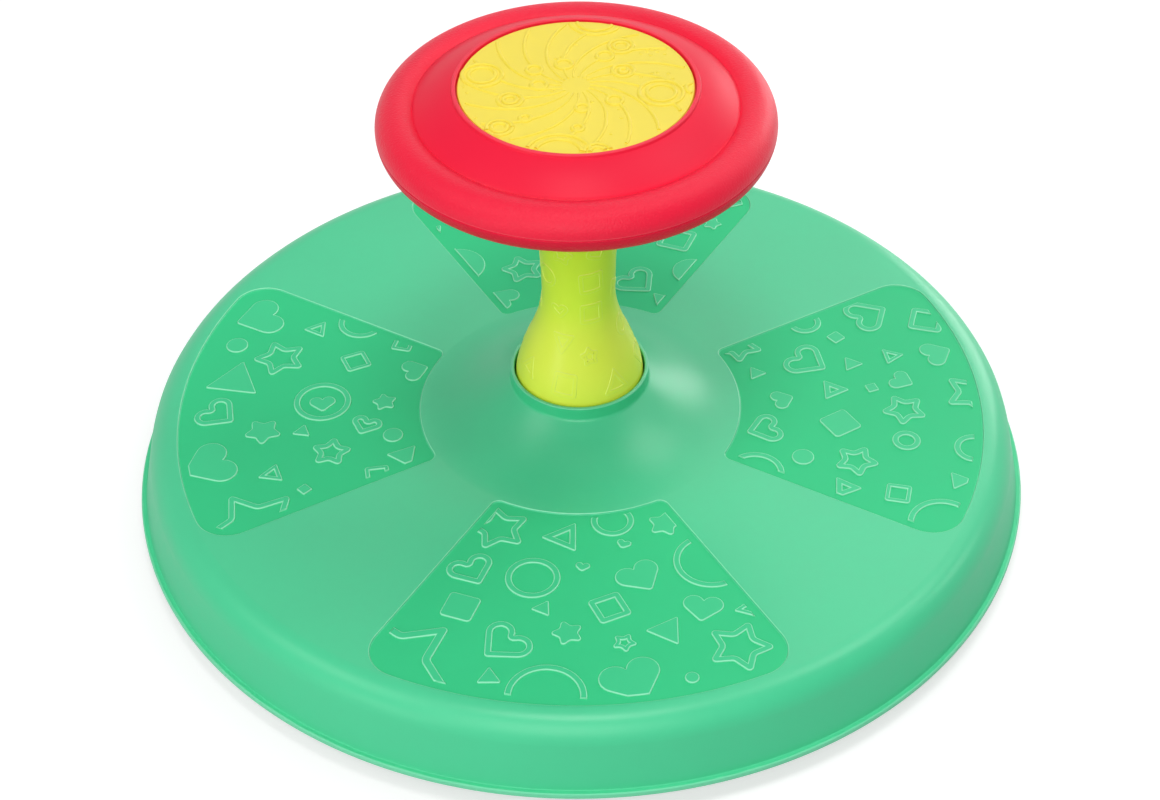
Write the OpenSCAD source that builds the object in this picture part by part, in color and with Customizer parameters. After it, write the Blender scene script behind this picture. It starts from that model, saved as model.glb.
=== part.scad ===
// Toddler spinning seat. A round dish turns on a ring of balls about a fixed
// post, and the post carries a hand wheel that the child pulls on.
// Millimetres, +Z up, the floor at z = 0 and the turning axis on Z.

/* [Seat dish] */
// Outside diameter over the bottom rim
dish_d = 510; // [460:5:560]
// Height of the bottom rim above the floor
ground_gap = 12; // [8:1:18]
// Height from the underside of the rim to the sitting surface
dish_h = 42.5; // [38:0.5:52]
// Wall of the dish
dish_wall = 3.2; // [2.4:0.1:4]
// Width of the bottom rim outside the side wall
rim_w = 3; // [2:0.5:8]
// Thickness of the bottom rim
rim_t = 3.5; // [3:0.5:6]
// How far the side wall leans in over its height
side_draft = 5; // [1:0.5:7]
// Radius of the rolled shoulder
shoulder_r = 15.5; // [10:0.5:18]
// Height of the ribs under the sitting surface
dish_rib_h = 8; // [5:0.5:9]
// Ribs outside the ball ring
dish_rib_count = 16; // [8:4:24]

/* [Seat hub] */
// Diameter of the crease where the hub starts to rise
hub_d = 182; // [172:1:196]
// Height of the collar's top above the sitting surface
hub_h = 29.2; // [26:0.2:36]
// Outside diameter of the collar round the post
collar_d = 78.2; // [77.4:0.2:84]
// Straight height of the collar above the bell
collar_h = 8; // [5:0.5:11]
// Wall of the collar
collar_wall = 2.2; // [1.2:0.1:2.4]
// Steepness of the bell where it leaves the sitting surface, in degrees
bell_low_slope = 12; // [6:1:16]
// Steepness of the bell where it meets the collar, in degrees
bell_high_slope = 48; // [40:1:60]
// Wall of the tube that holds the bush
hub_tube_wall = 3.5; // [2.5:0.5:5]

/* [Seat panels] */
// Panels round the sitting surface
panel_count = 4; // [2:1:5]
// Angle that one panel spans, in degrees
panel_span = 60; // [40:1:64]
// Depth of a panel below the sitting surface
panel_depth = 1; // [0.5:0.1:1.4]
// Flat left between a panel and the shoulder
panel_margin = 1.8; // [1:0.2:8]
// Flat left between a panel and the hub
panel_hub_margin = 0.9; // [0.4:0.1:4]
// Corner radius at the outer end of a panel
panel_outer_corner = 19; // [8:1:24]
// Corner radius at the hub end of a panel
panel_inner_corner = 5; // [2:0.5:8]

/* [Post] */
// Diameter of the foot
post_foot_d = 72.6; // [68:0.2:73]
// Diameter of the waist
post_waist_d = 40.6; // [36:0.2:46]
// Diameter of the head in the wheel
post_head_d = 48; // [44:0.5:56]
// Depth of the foot below the top of the collar
post_sink = 13.4; // [12:0.2:15]
// Straight height of the foot
post_foot_h = 5.4; // [3:0.2:8]
// Height of the flare from the foot up to the waist
post_flare_h = 63; // [50:1:80]
// Wall of the post
post_wall = 3; // [2:0.2:4]
// Thickness of the closed ends
post_web = 4; // [3:0.5:6]

/* [Hand wheel] */
// Outside diameter
wheel_d = 209.2; // [190:1:230]
// Thickness of the round rim
wheel_rim_d = 25.1; // [22:0.5:30]
// Gap from the collar's top to the underside of the wheel
wheel_gap = 153.5; // [130:1:180]
// Rise of the crown above the rim
wheel_crown = 9; // [7:0.5:14]
// Wall of the two shells
wheel_wall = 3; // [2.4:0.2:3.6]
// How far the crease below the crown lies inside the middle of the rim
crease_in = 6; // [3:0.5:9]
// Angle of the parting line below the rim's middle, in degrees
parting_drop = 15; // [5:1:25]
// Diameter of the centre disc
disc_d = 122.6; // [110:1:128]
// Thickness of the centre disc
disc_t = 2.5; // [2:0.1:3]
// Height of the lip above the disc
lip_h = 0.7; // [0.4:0.1:1]
// Width of the lip round the disc
lip_w = 2.6; // [2:0.2:4]
// Depth of the socket that takes the post's head
socket_h = 8; // [6:0.5:12]
// Screws that join the two shells
wheel_screw_count = 6; // [4:1:8]
// Snap tabs under the centre disc
disc_tab_count = 4; // [3:1:6]

/* [Disc relief] */
// Swirling arms raised on the centre disc
swirl_count = 18; // [10:1:24]
// Angle that an arm swings back on its way out, in degrees
swirl_turn = 45; // [20:1:70]
// Width of the raised lines
relief_w = 1.5; // [1:0.1:2]
// Height of the arms above the disc
swirl_h = 0.4; // [0.2:0.05:0.5]
// Height of the rings above the disc
ring_h = 0.6; // [0.5:0.05:0.7]

/* [Floor base] */
// Diameter of the base
base_d = 350; // [320:5:380]
// Height of the base above its underside
base_h = 18; // [16:0.5:20]
// Wall of the base
base_wall = 3; // [2.4:0.2:3.6]
// Diameter of the stem that the seat turns on
stem_d = 38; // [34:0.5:40]
// Wall of the stem
stem_wall = 4; // [3.5:0.5:5]
// Radial ribs under the base
base_rib_count = 24; // [12:6:30]
// Foot pads
pad_count = 6; // [4:1:8]
// Diameter of a foot pad
pad_d = 24; // [18:1:28]
// Thickness of a foot pad
pad_t = 5; // [4:0.5:6]
// How far a pad stands out below the base
pad_proud = 3; // [2:0.5:3.5]

/* [Ball ring] */
// Diameter of a ball
ball_d = 14; // [12:0.5:15]
// Balls in the ring
ball_count = 12; // [8:1:20]
// Diameter of the circle through the ball centres
race_d = 240; // [220:2:260]
// Width of each race
race_w = 20; // [18:0.5:24]
// Thickness of each race
race_t = 3; // [2.4:0.2:3.6]
// Depth of the ball groove
groove_depth = 1.2; // [0.8:0.1:1.6]
// Thickness of the ball cage
cage_t = 4; // [3:0.5:6]

/* [Bush and tie bolt] */
// Wall of the bush sleeve
bush_wall = 3; // [2:0.2:4]
// Length of the bush sleeve
bush_len = 28; // [22:1:30]
// Diameter of the bush flange
bush_flange_d = 54; // [50:1:60]
// Thickness of the bush flange
bush_flange_t = 2.5; // [2:0.1:3]
// Thickness of the slip washer under the post
slip_t = 1.5; // [1:0.1:2]
// Diameter of the tie bolt
bolt_d = 10; // [8:1:12]
// Size across the flats of the bolt head and the nut
hex_af = 17; // [15:1:19]
// Height of the bolt head
bolt_head_h = 6.4; // [5:0.2:8]
// Height of the lock nut
nut_h = 10; // [8:0.5:12]
// Diameter of the two bolt washers
washer_d = 24; // [22:0.5:27]
// Thickness of the two bolt washers
washer_t = 1.6; // [1.2:0.2:2]

/* [Clearances] */
// Gap between pieces that turn against each other
running_gap = 0.3; // [0.2:0.05:0.4]
// Radial clearance of the bush on the stem
bush_fit = 0.06; // [0.03:0.01:0.1]
// Gap round pieces that drop into a seat
seat_gap = 0.2; // [0.1:0.05:0.3]
// Radial clearance of pieces that thread or press together
press_gap = 0.05; // [0.03:0.01:0.08]

/* [Hidden] */
$fn = 96;
cut_over = 1;
arc_steps = 12;

// Heights of the seat
rim_z = ground_gap;
seat_z = rim_z + dish_h;
under_z = seat_z - dish_wall;
collar_z = seat_z + hub_h;
bell_z = collar_z - collar_h;
shoulder_z = seat_z - shoulder_r;

// Radii of the seat
dish_r = dish_d / 2;
side_r = dish_r - rim_w;
side_top_r = side_r - side_draft;
shoulder_in_r = side_top_r - shoulder_r;
hub_r = hub_d / 2;
collar_r = collar_d / 2;
collar_bore_r = collar_r - collar_wall;
panel_out_r = shoulder_in_r - panel_margin;
panel_in_r = hub_r + panel_hub_margin;

// Where the post, slip washer, bush and hub web stack up
post_z = collar_z - post_sink;
slip_z = post_z - slip_t;
bush_top_z = slip_z - running_gap;
web_top_z = bush_top_z - bush_flange_t;
web_z = web_top_z - dish_wall;

// Stem, bush and hub tube
stem_r = stem_d / 2;
stem_bore_r = stem_r - stem_wall;
bush_bore_r = stem_r + bush_fit;
bush_r = bush_bore_r + bush_wall;
tube_bore_r = bush_r + press_gap;
tube_r = tube_bore_r + hub_tube_wall;
tube_extra = 2;
tube_z = web_top_z - bush_len - tube_extra;

// Ball ring, from the base plate up
plate_z = pad_proud + base_h;
ball_r = ball_d / 2;
groove_r = ball_r + running_gap;
race_r = race_d / 2;
race_in_r = race_r - race_w / 2;
race_out_r = race_r + race_w / 2;
lower_race_top_z = plate_z + race_t;
ball_z = lower_race_top_z - groove_depth + groove_r;
upper_race_z = ball_z + groove_r - groove_depth;
upper_race_top_z = upper_race_z + race_t;
race_lip_w = 2.4;
race_lip_h = race_t / 2;
race_boss_in_r = race_in_r - seat_gap - race_lip_w;
race_boss_out_r = race_out_r + seat_gap + race_lip_w;

// Ribs under the sitting surface
rib_t = 2.2;
dish_rib_z = under_z - dish_rib_h;
bell_wall_share = 1.2;

// Floor base
base_r = base_d / 2;
base_edge_r = 7;
base_hub_wall = 11;
base_hub_r = stem_bore_r + base_hub_wall;
base_rib_lift = 4;
head_pocket_r = washer_d / 2 + cut_over;
head_pocket_z = pad_proud + cut_over + bolt_head_h + washer_t;
bolt_web = 4;
bolt_web_z = head_pocket_z + bolt_web;
bolt_r = bolt_d / 2;
bolt_hole_r = bolt_r + running_gap;
pad_r = pad_d / 2;
pad_wall = 3;
pad_ring_r = base_r - base_edge_r - pad_r - pad_wall;
pad_chamfer = 1.5;

// Lugs that stop the post and the wheel from turning on the stem
lug_count = 4;
lug_w = 6;
lug_h = post_web - running_gap;
lug_in_r = stem_bore_r + running_gap;
lug_out_r = stem_r - running_gap;

// Hand wheel
wheel_tube_r = wheel_rim_d / 2;
wheel_mid_r = wheel_d / 2 - wheel_tube_r;
wheel_low_z = collar_z + wheel_gap;
wheel_z = wheel_low_z + wheel_tube_r;
wheel_inner_tube_r = wheel_tube_r - wheel_wall;
plate_lift = 2.8;
wheel_plate_z = wheel_low_z + plate_lift;
wheel_plate_top_z = wheel_plate_z + wheel_wall;
socket_r = post_head_d / 2 + seat_gap;
socket_wall = 5;
socket_z = wheel_plate_z - socket_h;
crown_z = wheel_z + wheel_tube_r + wheel_crown;
disc_r = disc_d / 2;
disc_seat_r = disc_r + running_gap;
disc_z = crown_z - disc_t;
ledge_w = 7.6;
ledge_r = disc_seat_r - ledge_w;
ledge_z = disc_z - wheel_wall;
lip_r = disc_seat_r + lip_w;
crease_r = wheel_mid_r - crease_in;
crease_angle = acos(-crease_in / wheel_tube_r);
crease_z = wheel_z + wheel_tube_r * sin(crease_angle);

// Screws of the hand wheel
screw_d = 4;
screw_head_d = 7.6;
screw_head_h = 2.6;
screw_len = 13;
screw_ring_r = (lip_r + crease_r) / 2;
screw_boss_wall = 3;
screw_boss_r = screw_d / 2 + screw_boss_wall;
screw_seat_z = wheel_plate_z + screw_head_h + running_gap;
screw_web = 3.4;
screw_joint_z = screw_seat_z + screw_web;
screw_boss_top_z = (crease_z + crown_z) / 2 - wheel_wall / 2;

// Tie bolt and its nut
bolt_seat_z = head_pocket_z - washer_t;
nut_seat_z = wheel_plate_top_z + washer_t;
bolt_tail = 3;
bolt_top_z = nut_seat_z + nut_h + bolt_tail;

// Post outline
post_top_z = wheel_plate_z;
post_flare_z = post_z + post_foot_h;
post_waist_z = post_flare_z + post_flare_h;
post_foot_r = post_foot_d / 2;
post_waist_r = post_waist_d / 2;
post_head_r = post_head_d / 2;
head_power = 1.5;

// Relief of the centre disc: where an arm starts and ends, and how deep the lines root in the disc
swirl_in_share = 0.12;
swirl_out_share = 0.95;
relief_root = disc_t / 2;
swirl_root = disc_t / 3;

// Rings on the centre disc as shares of its radius: place, outer ring and inner ring
disc_ring_shares = [
    [-0.79, 0.17, 0.170, 0.115],
    [0.71, -0.13, 0.185, 0.120],
    [0.39, 0.59, 0.105, 0.062],
    [0.40, 0.21, 0.092, 0.035],
    [-0.55, -0.21, 0.102, 0.055],
    [-0.63, -0.61, 0.108, 0.065],
    [0.18, 1.01, 0.228, 0.165],
    [-0.15, -0.98, 0.262, 0.190],
    [0.17, -0.97, 0.112, 0.065],
    [1.00, -0.07, 0.082, 0],
    [-0.35, 0.24, 0.066, 0],
    [-0.10, 0.32, 0.070, 0],
    [0.25, 0.44, 0.070, 0],
    [-0.31, 0.01, 0.066, 0],
    [0.05, -0.34, 0.056, 0],
    [0.01, -0.63, 0.046, 0],
    [0.32, -0.23, 0.066, 0],
    [-0.42, -0.48, 0.046, 0]
];

// Snap tabs of the centre disc
tab_t = 2.2;
tab_hook = 1.4;
tab_span = 18;
tab_r = ledge_r - running_gap;
tab_tip_h = 3;

// Points of an arc from one angle to another
function arc_points(centre, radius, from, to, steps = arc_steps) =
    [for (i = [0 : steps]) let (a = from + (to - from) * i / steps) centre + radius * [cos(a), sin(a)]];

// Points of a curve that leaves a along one slope and reaches b along another
function blend_points(a, b, slope_a, slope_b, steps = arc_steps) =
    let (run = a.x - b.x)
    let (rise = b.y - a.y)
    let (reach = (run * tan(slope_b) - rise) / (tan(slope_b) - tan(slope_a)))
    let (c = [a.x - reach, a.y + reach * tan(slope_a)])
    [for (i = [0 : steps]) let (t = i / steps) a * pow(1 - t, 2) + c * 2 * t * (1 - t) + b * pow(t, 2)];

// Outline of a panel: a ring sector with radial sides and rounded corners
function panel_points(r_in, r_out, half, corner_in, corner_out) =
    let (turn_out = asin(corner_out / (r_out - corner_out)))
    let (turn_in = asin(corner_in / (r_in + corner_in)))
    let (a_out = half - turn_out)
    let (a_in = half - turn_in)
    let (mid_out = r_out - corner_out)
    let (mid_in = r_in + corner_in)
    concat(
        arc_points([0, 0], r_out, -a_out, a_out, 2 * arc_steps),
        arc_points(mid_out * [cos(a_out), sin(a_out)], corner_out, a_out, half + 90, arc_steps),
        arc_points(mid_in * [cos(a_in), sin(a_in)], corner_in, half + 90, a_in + 180, arc_steps),
        arc_points([0, 0], r_in, a_in, -a_in, 2 * arc_steps),
        arc_points(mid_in * [cos(a_in), -sin(a_in)], corner_in, 180 - a_in, 270 - half, arc_steps),
        arc_points(mid_out * [cos(a_out), -sin(a_out)], corner_out, -half - 90, -a_out, arc_steps)
    );

// Radius of the post at a height
function post_radius(z) =
    z < post_flare_z ? post_foot_r
    : z < post_waist_z ? flare_radius((z - post_flare_z) / post_flare_h)
    : post_waist_r + (post_head_r - post_waist_r) * pow((z - post_waist_z) / (socket_z - post_waist_z), head_power);
function flare_radius(share) = post_waist_r + (post_foot_r - post_waist_r) * (1 + cos(180 * share)) / 2;

// Height of the crown between the lip and the crease at a radius
function crown_height(r) = crown_z + (crease_z - crown_z) * (r - lip_r) / (crease_r - lip_r);

// A ring with a rectangular section
module ring(r_in, r_out, z_low, z_high) {
    translate([0, 0, z_low])
        difference() {
            cylinder(r = r_out, h = z_high - z_low);
            translate([0, 0, -cut_over])
                cylinder(r = r_in, h = z_high - z_low + 2 * cut_over);
        }
}

// A rectangle of a half section, from one radius to another
module section_box(r_low, r_high, z_low, z_high) {
    translate([r_low, z_low])
        square([r_high - r_low, z_high - z_low]);
}

// Copies spread evenly round the axis
module around(count, first = 0) {
    for (i = [0 : count - 1])
        rotate([0, 0, first + 360 * i / count])
            children();
}

// Radial ribs between two radii
module radial_ribs(count, r_low, r_high, z_low, z_high, first = 0) {
    around(count, first)
        translate([r_low, -rib_t / 2, z_low])
            cube([r_high - r_low, rib_t, z_high - z_low]);
}

// Lugs, or the slots for them with a clearance, standing from z_low to z_high
module lugs(z_low, z_high, gap = 0) {
    around(lug_count, 180 / lug_count)
        translate([lug_in_r - gap, -lug_w / 2 - gap, z_low])
            cube([lug_out_r - lug_in_r + 2 * gap, lug_w + 2 * gap, z_high - z_low]);
}

// The dish seen as a solid half section, down to the rim
module dish_outer_section() {
    polygon(concat(
        [[0, rim_z], [dish_r, rim_z], [dish_r, rim_z + rim_t], [side_r, rim_z + rim_t]],
        arc_points([shoulder_in_r, shoulder_z], shoulder_r, 0, 90),
        blend_points([hub_r, seat_z], [collar_r, bell_z], bell_low_slope, bell_high_slope),
        [[collar_r, collar_z], [0, collar_z]]
    ));
}

// The hollow under the dish as a half section, one wall inside the outer one
module dish_hollow_section() {
    bell_drop = dish_wall * bell_wall_share;
    bell = blend_points([hub_r, under_z], [collar_r, bell_z - bell_drop], bell_low_slope, bell_high_slope);
    polygon(concat(
        [[0, rim_z - cut_over], [side_r - dish_wall, rim_z - cut_over], [side_r - dish_wall, rim_z + rim_t]],
        arc_points([shoulder_in_r, shoulder_z], shoulder_r - dish_wall, 0, 90),
        [for (p = bell) [p.x, min(p.y, web_z)]],
        [[0, web_z]]
    ));
}

// Half section of the seat: shell, hub web, bush tube and race boss
module dish_section() {
    difference() {
        dish_outer_section();
        difference() {
            dish_hollow_section();
            section_box(tube_bore_r, tube_r, tube_z, web_top_z);
            section_box(race_boss_in_r, race_boss_out_r, upper_race_top_z, seat_z);
            section_box(race_boss_in_r, race_boss_in_r + race_lip_w, upper_race_top_z - race_lip_h, seat_z);
            section_box(race_boss_out_r - race_lip_w, race_boss_out_r, upper_race_top_z - race_lip_h, seat_z);
        }
        section_box(0, tube_bore_r, 0, collar_z);
        section_box(0, collar_bore_r, web_top_z, collar_z + cut_over);
    }
}

// Ribs under the sitting surface, trimmed to the middle of the wall
module dish_ribs() {
    intersection() {
        union() {
            radial_ribs(dish_rib_count, race_boss_out_r - rib_t, side_top_r, dish_rib_z, seat_z);
            radial_ribs(dish_rib_count / 2, tube_r - rib_t, race_boss_in_r + rib_t, dish_rib_z, web_top_z - dish_wall / 2);
        }
        translate([0, 0, -dish_wall / 2])
            rotate_extrude()
                dish_outer_section();
    }
}

// Cut that sinks one panel into the sitting surface
module panel_cut() {
    translate([0, 0, seat_z - panel_depth])
        linear_extrude(panel_depth + cut_over)
            polygon(panel_points(panel_in_r, panel_out_r, panel_span / 2, panel_inner_corner, panel_outer_corner));
}

module seat_dish() {
    color("#56d198")
        difference() {
            union() {
                rotate_extrude()
                    dish_section();
                dish_ribs();
            }
            around(panel_count)
                panel_cut();
        }
}

// Steel race whose groove opens upwards, or downwards when turned over
module race(z_low, groove_z) {
    rotate_extrude()
        difference() {
            section_box(race_in_r, race_out_r, z_low, z_low + race_t);
            translate([race_r, groove_z])
                circle(groove_r);
        }
}

module upper_race() {
    color("#b9bdc2")
        race(upper_race_z, ball_z);
}

module lower_race() {
    color("#b9bdc2")
        race(plate_z, ball_z);
}

module bearing_ball(index) {
    color("#d5d8dc")
        rotate([0, 0, 360 * index / ball_count])
            translate([race_r, 0, ball_z])
                sphere(ball_r);
}

module ball_cage() {
    color("#e8e6dd")
        difference() {
            ring(race_in_r, race_out_r, ball_z - cage_t / 2, ball_z + cage_t / 2);
            around(ball_count)
                translate([race_r, 0, ball_z - cage_t])
                    cylinder(r = groove_r, h = 2 * cage_t);
        }
}

module hub_bush() {
    color("#f1efe6")
        rotate_extrude()
            difference() {
                union() {
                    section_box(0, bush_r, web_top_z - bush_len, bush_top_z);
                    section_box(0, bush_flange_d / 2, web_top_z, bush_top_z);
                }
                section_box(0, bush_bore_r, 0, collar_z);
            }
}

module slip_washer() {
    color("#f6f4ec")
        ring(stem_r + running_gap, bush_flange_d / 2, slip_z, post_z);
}

// Half section of the base plate and its rolled edge
module base_shell_section(inset) {
    polygon(concat(
        [[0, pad_proud - (inset > 0 ? cut_over : 0)], [base_r - inset, pad_proud - (inset > 0 ? cut_over : 0)]],
        arc_points([base_r - base_edge_r, plate_z - base_edge_r], base_edge_r - inset, 0, 90),
        [[0, plate_z - inset]]
    ));
}

// Half section of the base: shell, hub, stem and race channel
module base_section() {
    difference() {
        union() {
            difference() {
                base_shell_section(0);
                base_shell_section(base_wall);
            }
            section_box(0, base_hub_r, pad_proud, plate_z);
            section_box(0, stem_r, pad_proud, post_z);
            section_box(race_in_r - seat_gap - race_lip_w, race_in_r - seat_gap, plate_z - base_wall, plate_z + race_lip_h);
            section_box(race_out_r + seat_gap, race_out_r + seat_gap + race_lip_w, plate_z - base_wall, plate_z + race_lip_h);
            section_box(race_r - rib_t / 2, race_r + rib_t / 2, pad_proud + base_rib_lift, plate_z - base_wall / 2);
        }
        section_box(0, head_pocket_r, 0, head_pocket_z);
        section_box(0, bolt_hole_r, 0, post_z);
        section_box(0, stem_bore_r, bolt_web_z, post_z + cut_over);
    }
}

module floor_base() {
    rib_z = pad_proud + base_rib_lift;
    color("#3fae7c")
        difference() {
            union() {
                rotate_extrude()
                    base_section();
                intersection() {
                    radial_ribs(base_rib_count, base_hub_r - rib_t, base_r, rib_z, plate_z);
                    rotate_extrude()
                        base_shell_section(base_wall / 2);
                }
                around(pad_count)
                    translate([pad_ring_r, 0, pad_proud])
                        cylinder(r = pad_r + pad_wall, h = base_h - base_wall / 2);
                lugs(post_z - lug_h, post_z + lug_h);
            }
            around(pad_count)
                translate([pad_ring_r, 0, 0])
                    cylinder(r = pad_r + seat_gap, h = pad_t);
        }
}

module foot_pad(index) {
    color("#3a3d40")
        rotate([0, 0, 360 * index / pad_count])
            translate([pad_ring_r, 0, 0])
                rotate_extrude()
                    polygon([
                        [0, 0],
                        [pad_r - pad_chamfer, 0],
                        [pad_r, pad_chamfer],
                        [pad_r, pad_t],
                        [0, pad_t]
                    ]);
}

// Points of the post's side from foot to head, moved in by a wall
function post_side(inset, z_low, z_high, steps) =
    [for (i = [0 : steps]) let (z = z_low + (z_high - z_low) * i / steps) [post_radius(z) - inset, z]];

module post() {
    flare_steps = 3 * arc_steps;
    color("#c5e834")
        difference() {
            rotate_extrude()
                difference() {
                    polygon(concat(
                        [[0, post_z], [post_foot_r, post_z]],
                        post_side(0, post_flare_z, socket_z, flare_steps),
                        [[post_head_r, post_top_z], [0, post_top_z]]
                    ));
                    polygon(concat(
                        [[0, post_z + post_web], [post_foot_r - post_wall, post_z + post_web]],
                        post_side(post_wall, post_flare_z + post_web, socket_z, flare_steps),
                        [[post_head_r - post_wall, post_top_z - post_web], [0, post_top_z - post_web]]
                    ));
                    section_box(0, bolt_hole_r, 0, post_top_z + cut_over);
                }
            lugs(post_z - cut_over, post_z + post_web + cut_over, seat_gap);
            lugs(post_top_z - post_web - cut_over, post_top_z + cut_over, seat_gap);
        }
}

// Half section of the lower shell: half the rim, the plate and the socket
module wheel_bottom_section() {
    outer_drop = asin((wheel_plate_z - wheel_z) / wheel_tube_r);
    inner_drop = asin((wheel_plate_top_z - wheel_z) / wheel_inner_tube_r);
    difference() {
        union() {
            polygon(concat(
                arc_points([wheel_mid_r, wheel_z], wheel_tube_r, -parting_drop, -180 - outer_drop),
                [[0, wheel_plate_z], [0, wheel_plate_top_z]],
                arc_points([wheel_mid_r, wheel_z], wheel_inner_tube_r, -180 - inner_drop, -parting_drop)
            ));
            section_box(0, socket_r + socket_wall, socket_z, wheel_plate_top_z);
        }
        section_box(0, socket_r, 0, wheel_plate_z);
        section_box(0, bolt_hole_r, 0, crown_z);
    }
}

module wheel_bottom_shell() {
    color("#f03e52")
        difference() {
            union() {
                rotate_extrude()
                    wheel_bottom_section();
                around(wheel_screw_count)
                    translate([screw_ring_r, 0, wheel_plate_z])
                        cylinder(r = screw_head_d / 2 + screw_boss_wall, h = screw_joint_z - wheel_plate_z);
                lugs(wheel_plate_z - lug_h, wheel_plate_z + lug_h / 2);
            }
            around(wheel_screw_count)
                translate([screw_ring_r, 0, 0]) {
                    cylinder(r = screw_head_d / 2 + seat_gap, h = screw_seat_z);
                    cylinder(r = screw_d / 2 + seat_gap, h = crown_z);
                }
        }
}

// Half section of the upper shell: rim, crown, lip and the ledge for the disc
module wheel_top_section() {
    polygon(concat(
        arc_points([wheel_mid_r, wheel_z], wheel_tube_r, -parting_drop, crease_angle, 2 * arc_steps),
        [[lip_r, crown_z]],
        arc_points([lip_r - lip_h, crown_z], lip_h, 0, 90, arc_steps / 2),
        [[disc_seat_r, crown_z + lip_h], [disc_seat_r, disc_z], [ledge_r, disc_z], [ledge_r, ledge_z], [lip_r, ledge_z]],
        arc_points([wheel_mid_r, wheel_z], wheel_inner_tube_r, crease_angle, -parting_drop, 2 * arc_steps)
    ));
}

module wheel_top_shell() {
    boss_top_z = crown_height(screw_ring_r) - wheel_wall / 2 - screw_boss_r * (crown_z - crease_z) / (crease_r - lip_r);
    color("#fc4456")
        difference() {
            union() {
                rotate_extrude()
                    wheel_top_section();
                around(wheel_screw_count)
                    translate([screw_ring_r, 0, screw_joint_z])
                        cylinder(r = screw_boss_r, h = boss_top_z - screw_joint_z);
            }
            around(wheel_screw_count)
                translate([screw_ring_r, 0, 0])
                    cylinder(r = screw_d / 2 + press_gap, h = screw_seat_z + screw_len + cut_over);
        }
}

module wheel_screws() {
    color("#c9ccd0")
        around(wheel_screw_count)
            translate([screw_ring_r, 0, screw_seat_z]) {
                cylinder(r = screw_d / 2, h = screw_len);
                translate([0, 0, -screw_head_h])
                    cylinder(r = screw_head_d / 2, h = screw_head_h);
            }
}

// Point on one side of an arm, at a share of its way out
function swirl_point(share, side) =
    let (r = disc_r * (swirl_in_share + (swirl_out_share - swirl_in_share) * share))
    let (a = side * asin(relief_w / 2 / r) - swirl_turn * share)
    r * [cos(a), sin(a)];

// Arms that swirl out from the middle of the disc, stopped at the rings
module swirl_plan() {
    difference() {
        around(swirl_count)
            polygon(concat(
                [for (i = [0 : arc_steps]) swirl_point(i / arc_steps, -1)],
                [for (i = [arc_steps : -1 : 0]) swirl_point(i / arc_steps, 1)]
            ));
        for (ring = disc_ring_shares)
            translate([ring[0], ring[1]] * disc_r)
                circle(ring[2] * disc_r);
    }
}

// A raised line along a circle
module ring_line(radius) {
    difference() {
        circle(radius + relief_w / 2);
        circle(radius - relief_w / 2);
    }
}

// Rings on the disc, cut off a little inside its edge
module ring_plan() {
    intersection() {
        circle(disc_r - relief_w / 2);
        for (ring = disc_ring_shares)
            translate([ring[0], ring[1]] * disc_r) {
                ring_line(ring[2] * disc_r);
                if (ring[3] > 0)
                    ring_line(ring[3] * disc_r);
            }
    }
}

module wheel_disc() {
    color("#fce44a") {
        translate([0, 0, disc_z])
            cylinder(r = disc_r, h = disc_t);
        translate([0, 0, crown_z - swirl_root])
            linear_extrude(swirl_root + swirl_h)
                swirl_plan();
        translate([0, 0, crown_z - relief_root])
            linear_extrude(relief_root + ring_h)
                ring_plan();
        around(disc_tab_count)
            rotate_extrude(angle = tab_span)
                polygon([
                    [tab_r - tab_t, disc_z + disc_t / 2],
                    [tab_r, disc_z + disc_t / 2],
                    [tab_r, ledge_z - seat_gap],
                    [tab_r + tab_hook, ledge_z - seat_gap],
                    [tab_r, ledge_z - seat_gap - tab_tip_h],
                    [tab_r - tab_t, ledge_z - seat_gap - tab_tip_h]
                ]);
    }
}

// Hexagon with flats a given size apart
module hexagon(across, height) {
    cylinder(r = across / 2 / cos(30), h = height, $fn = 6);
}

module tie_bolt() {
    color("#c2c5c9") {
        translate([0, 0, bolt_seat_z - bolt_head_h])
            hexagon(hex_af, bolt_head_h);
        translate([0, 0, bolt_seat_z])
            cylinder(r = bolt_r, h = bolt_top_z - bolt_seat_z);
    }
}

module bolt_washer() {
    color("#c9ccd0")
        ring(bolt_hole_r, washer_d / 2, bolt_seat_z, head_pocket_z);
}

module nut_washer() {
    color("#c9ccd0")
        ring(bolt_hole_r, washer_d / 2, wheel_plate_top_z, nut_seat_z);
}

module lock_nut() {
    color("#c2c5c9")
        difference() {
            translate([0, 0, nut_seat_z])
                hexagon(hex_af, nut_h);
            cylinder(r = bolt_r + press_gap, h = crown_z);
        }
}

seat_dish();
upper_race();
hub_bush();
floor_base();
lower_race();
slip_washer();
post();
wheel_bottom_shell();
wheel_top_shell();
wheel_disc();
wheel_screws();
tie_bolt();
bolt_washer();
nut_washer();
lock_nut();
ball_cage();
for (i = [1 : pad_count])
    foot_pad(i);
for (i = [1 : ball_count])
    bearing_ball(i);
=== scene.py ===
# %% [markdown]
# # A toddler's spinning seat
# The real toy is a round dish that a small child sits in, a post that comes up through its middle, and a
# hand wheel on the post. The child holds the wheel and pulls, and the dish turns round on a ring of balls.
# Every visible piece is moulded plastic. The construction comes in as a fixed frame, and this lesson gives
# it its finished shapes, its raised figures and its plastic finishes.

# %% Load the frame
import math

import bmesh
import bpy
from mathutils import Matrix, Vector
from mathutils.geometry import delaunay_2d_cdt


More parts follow.
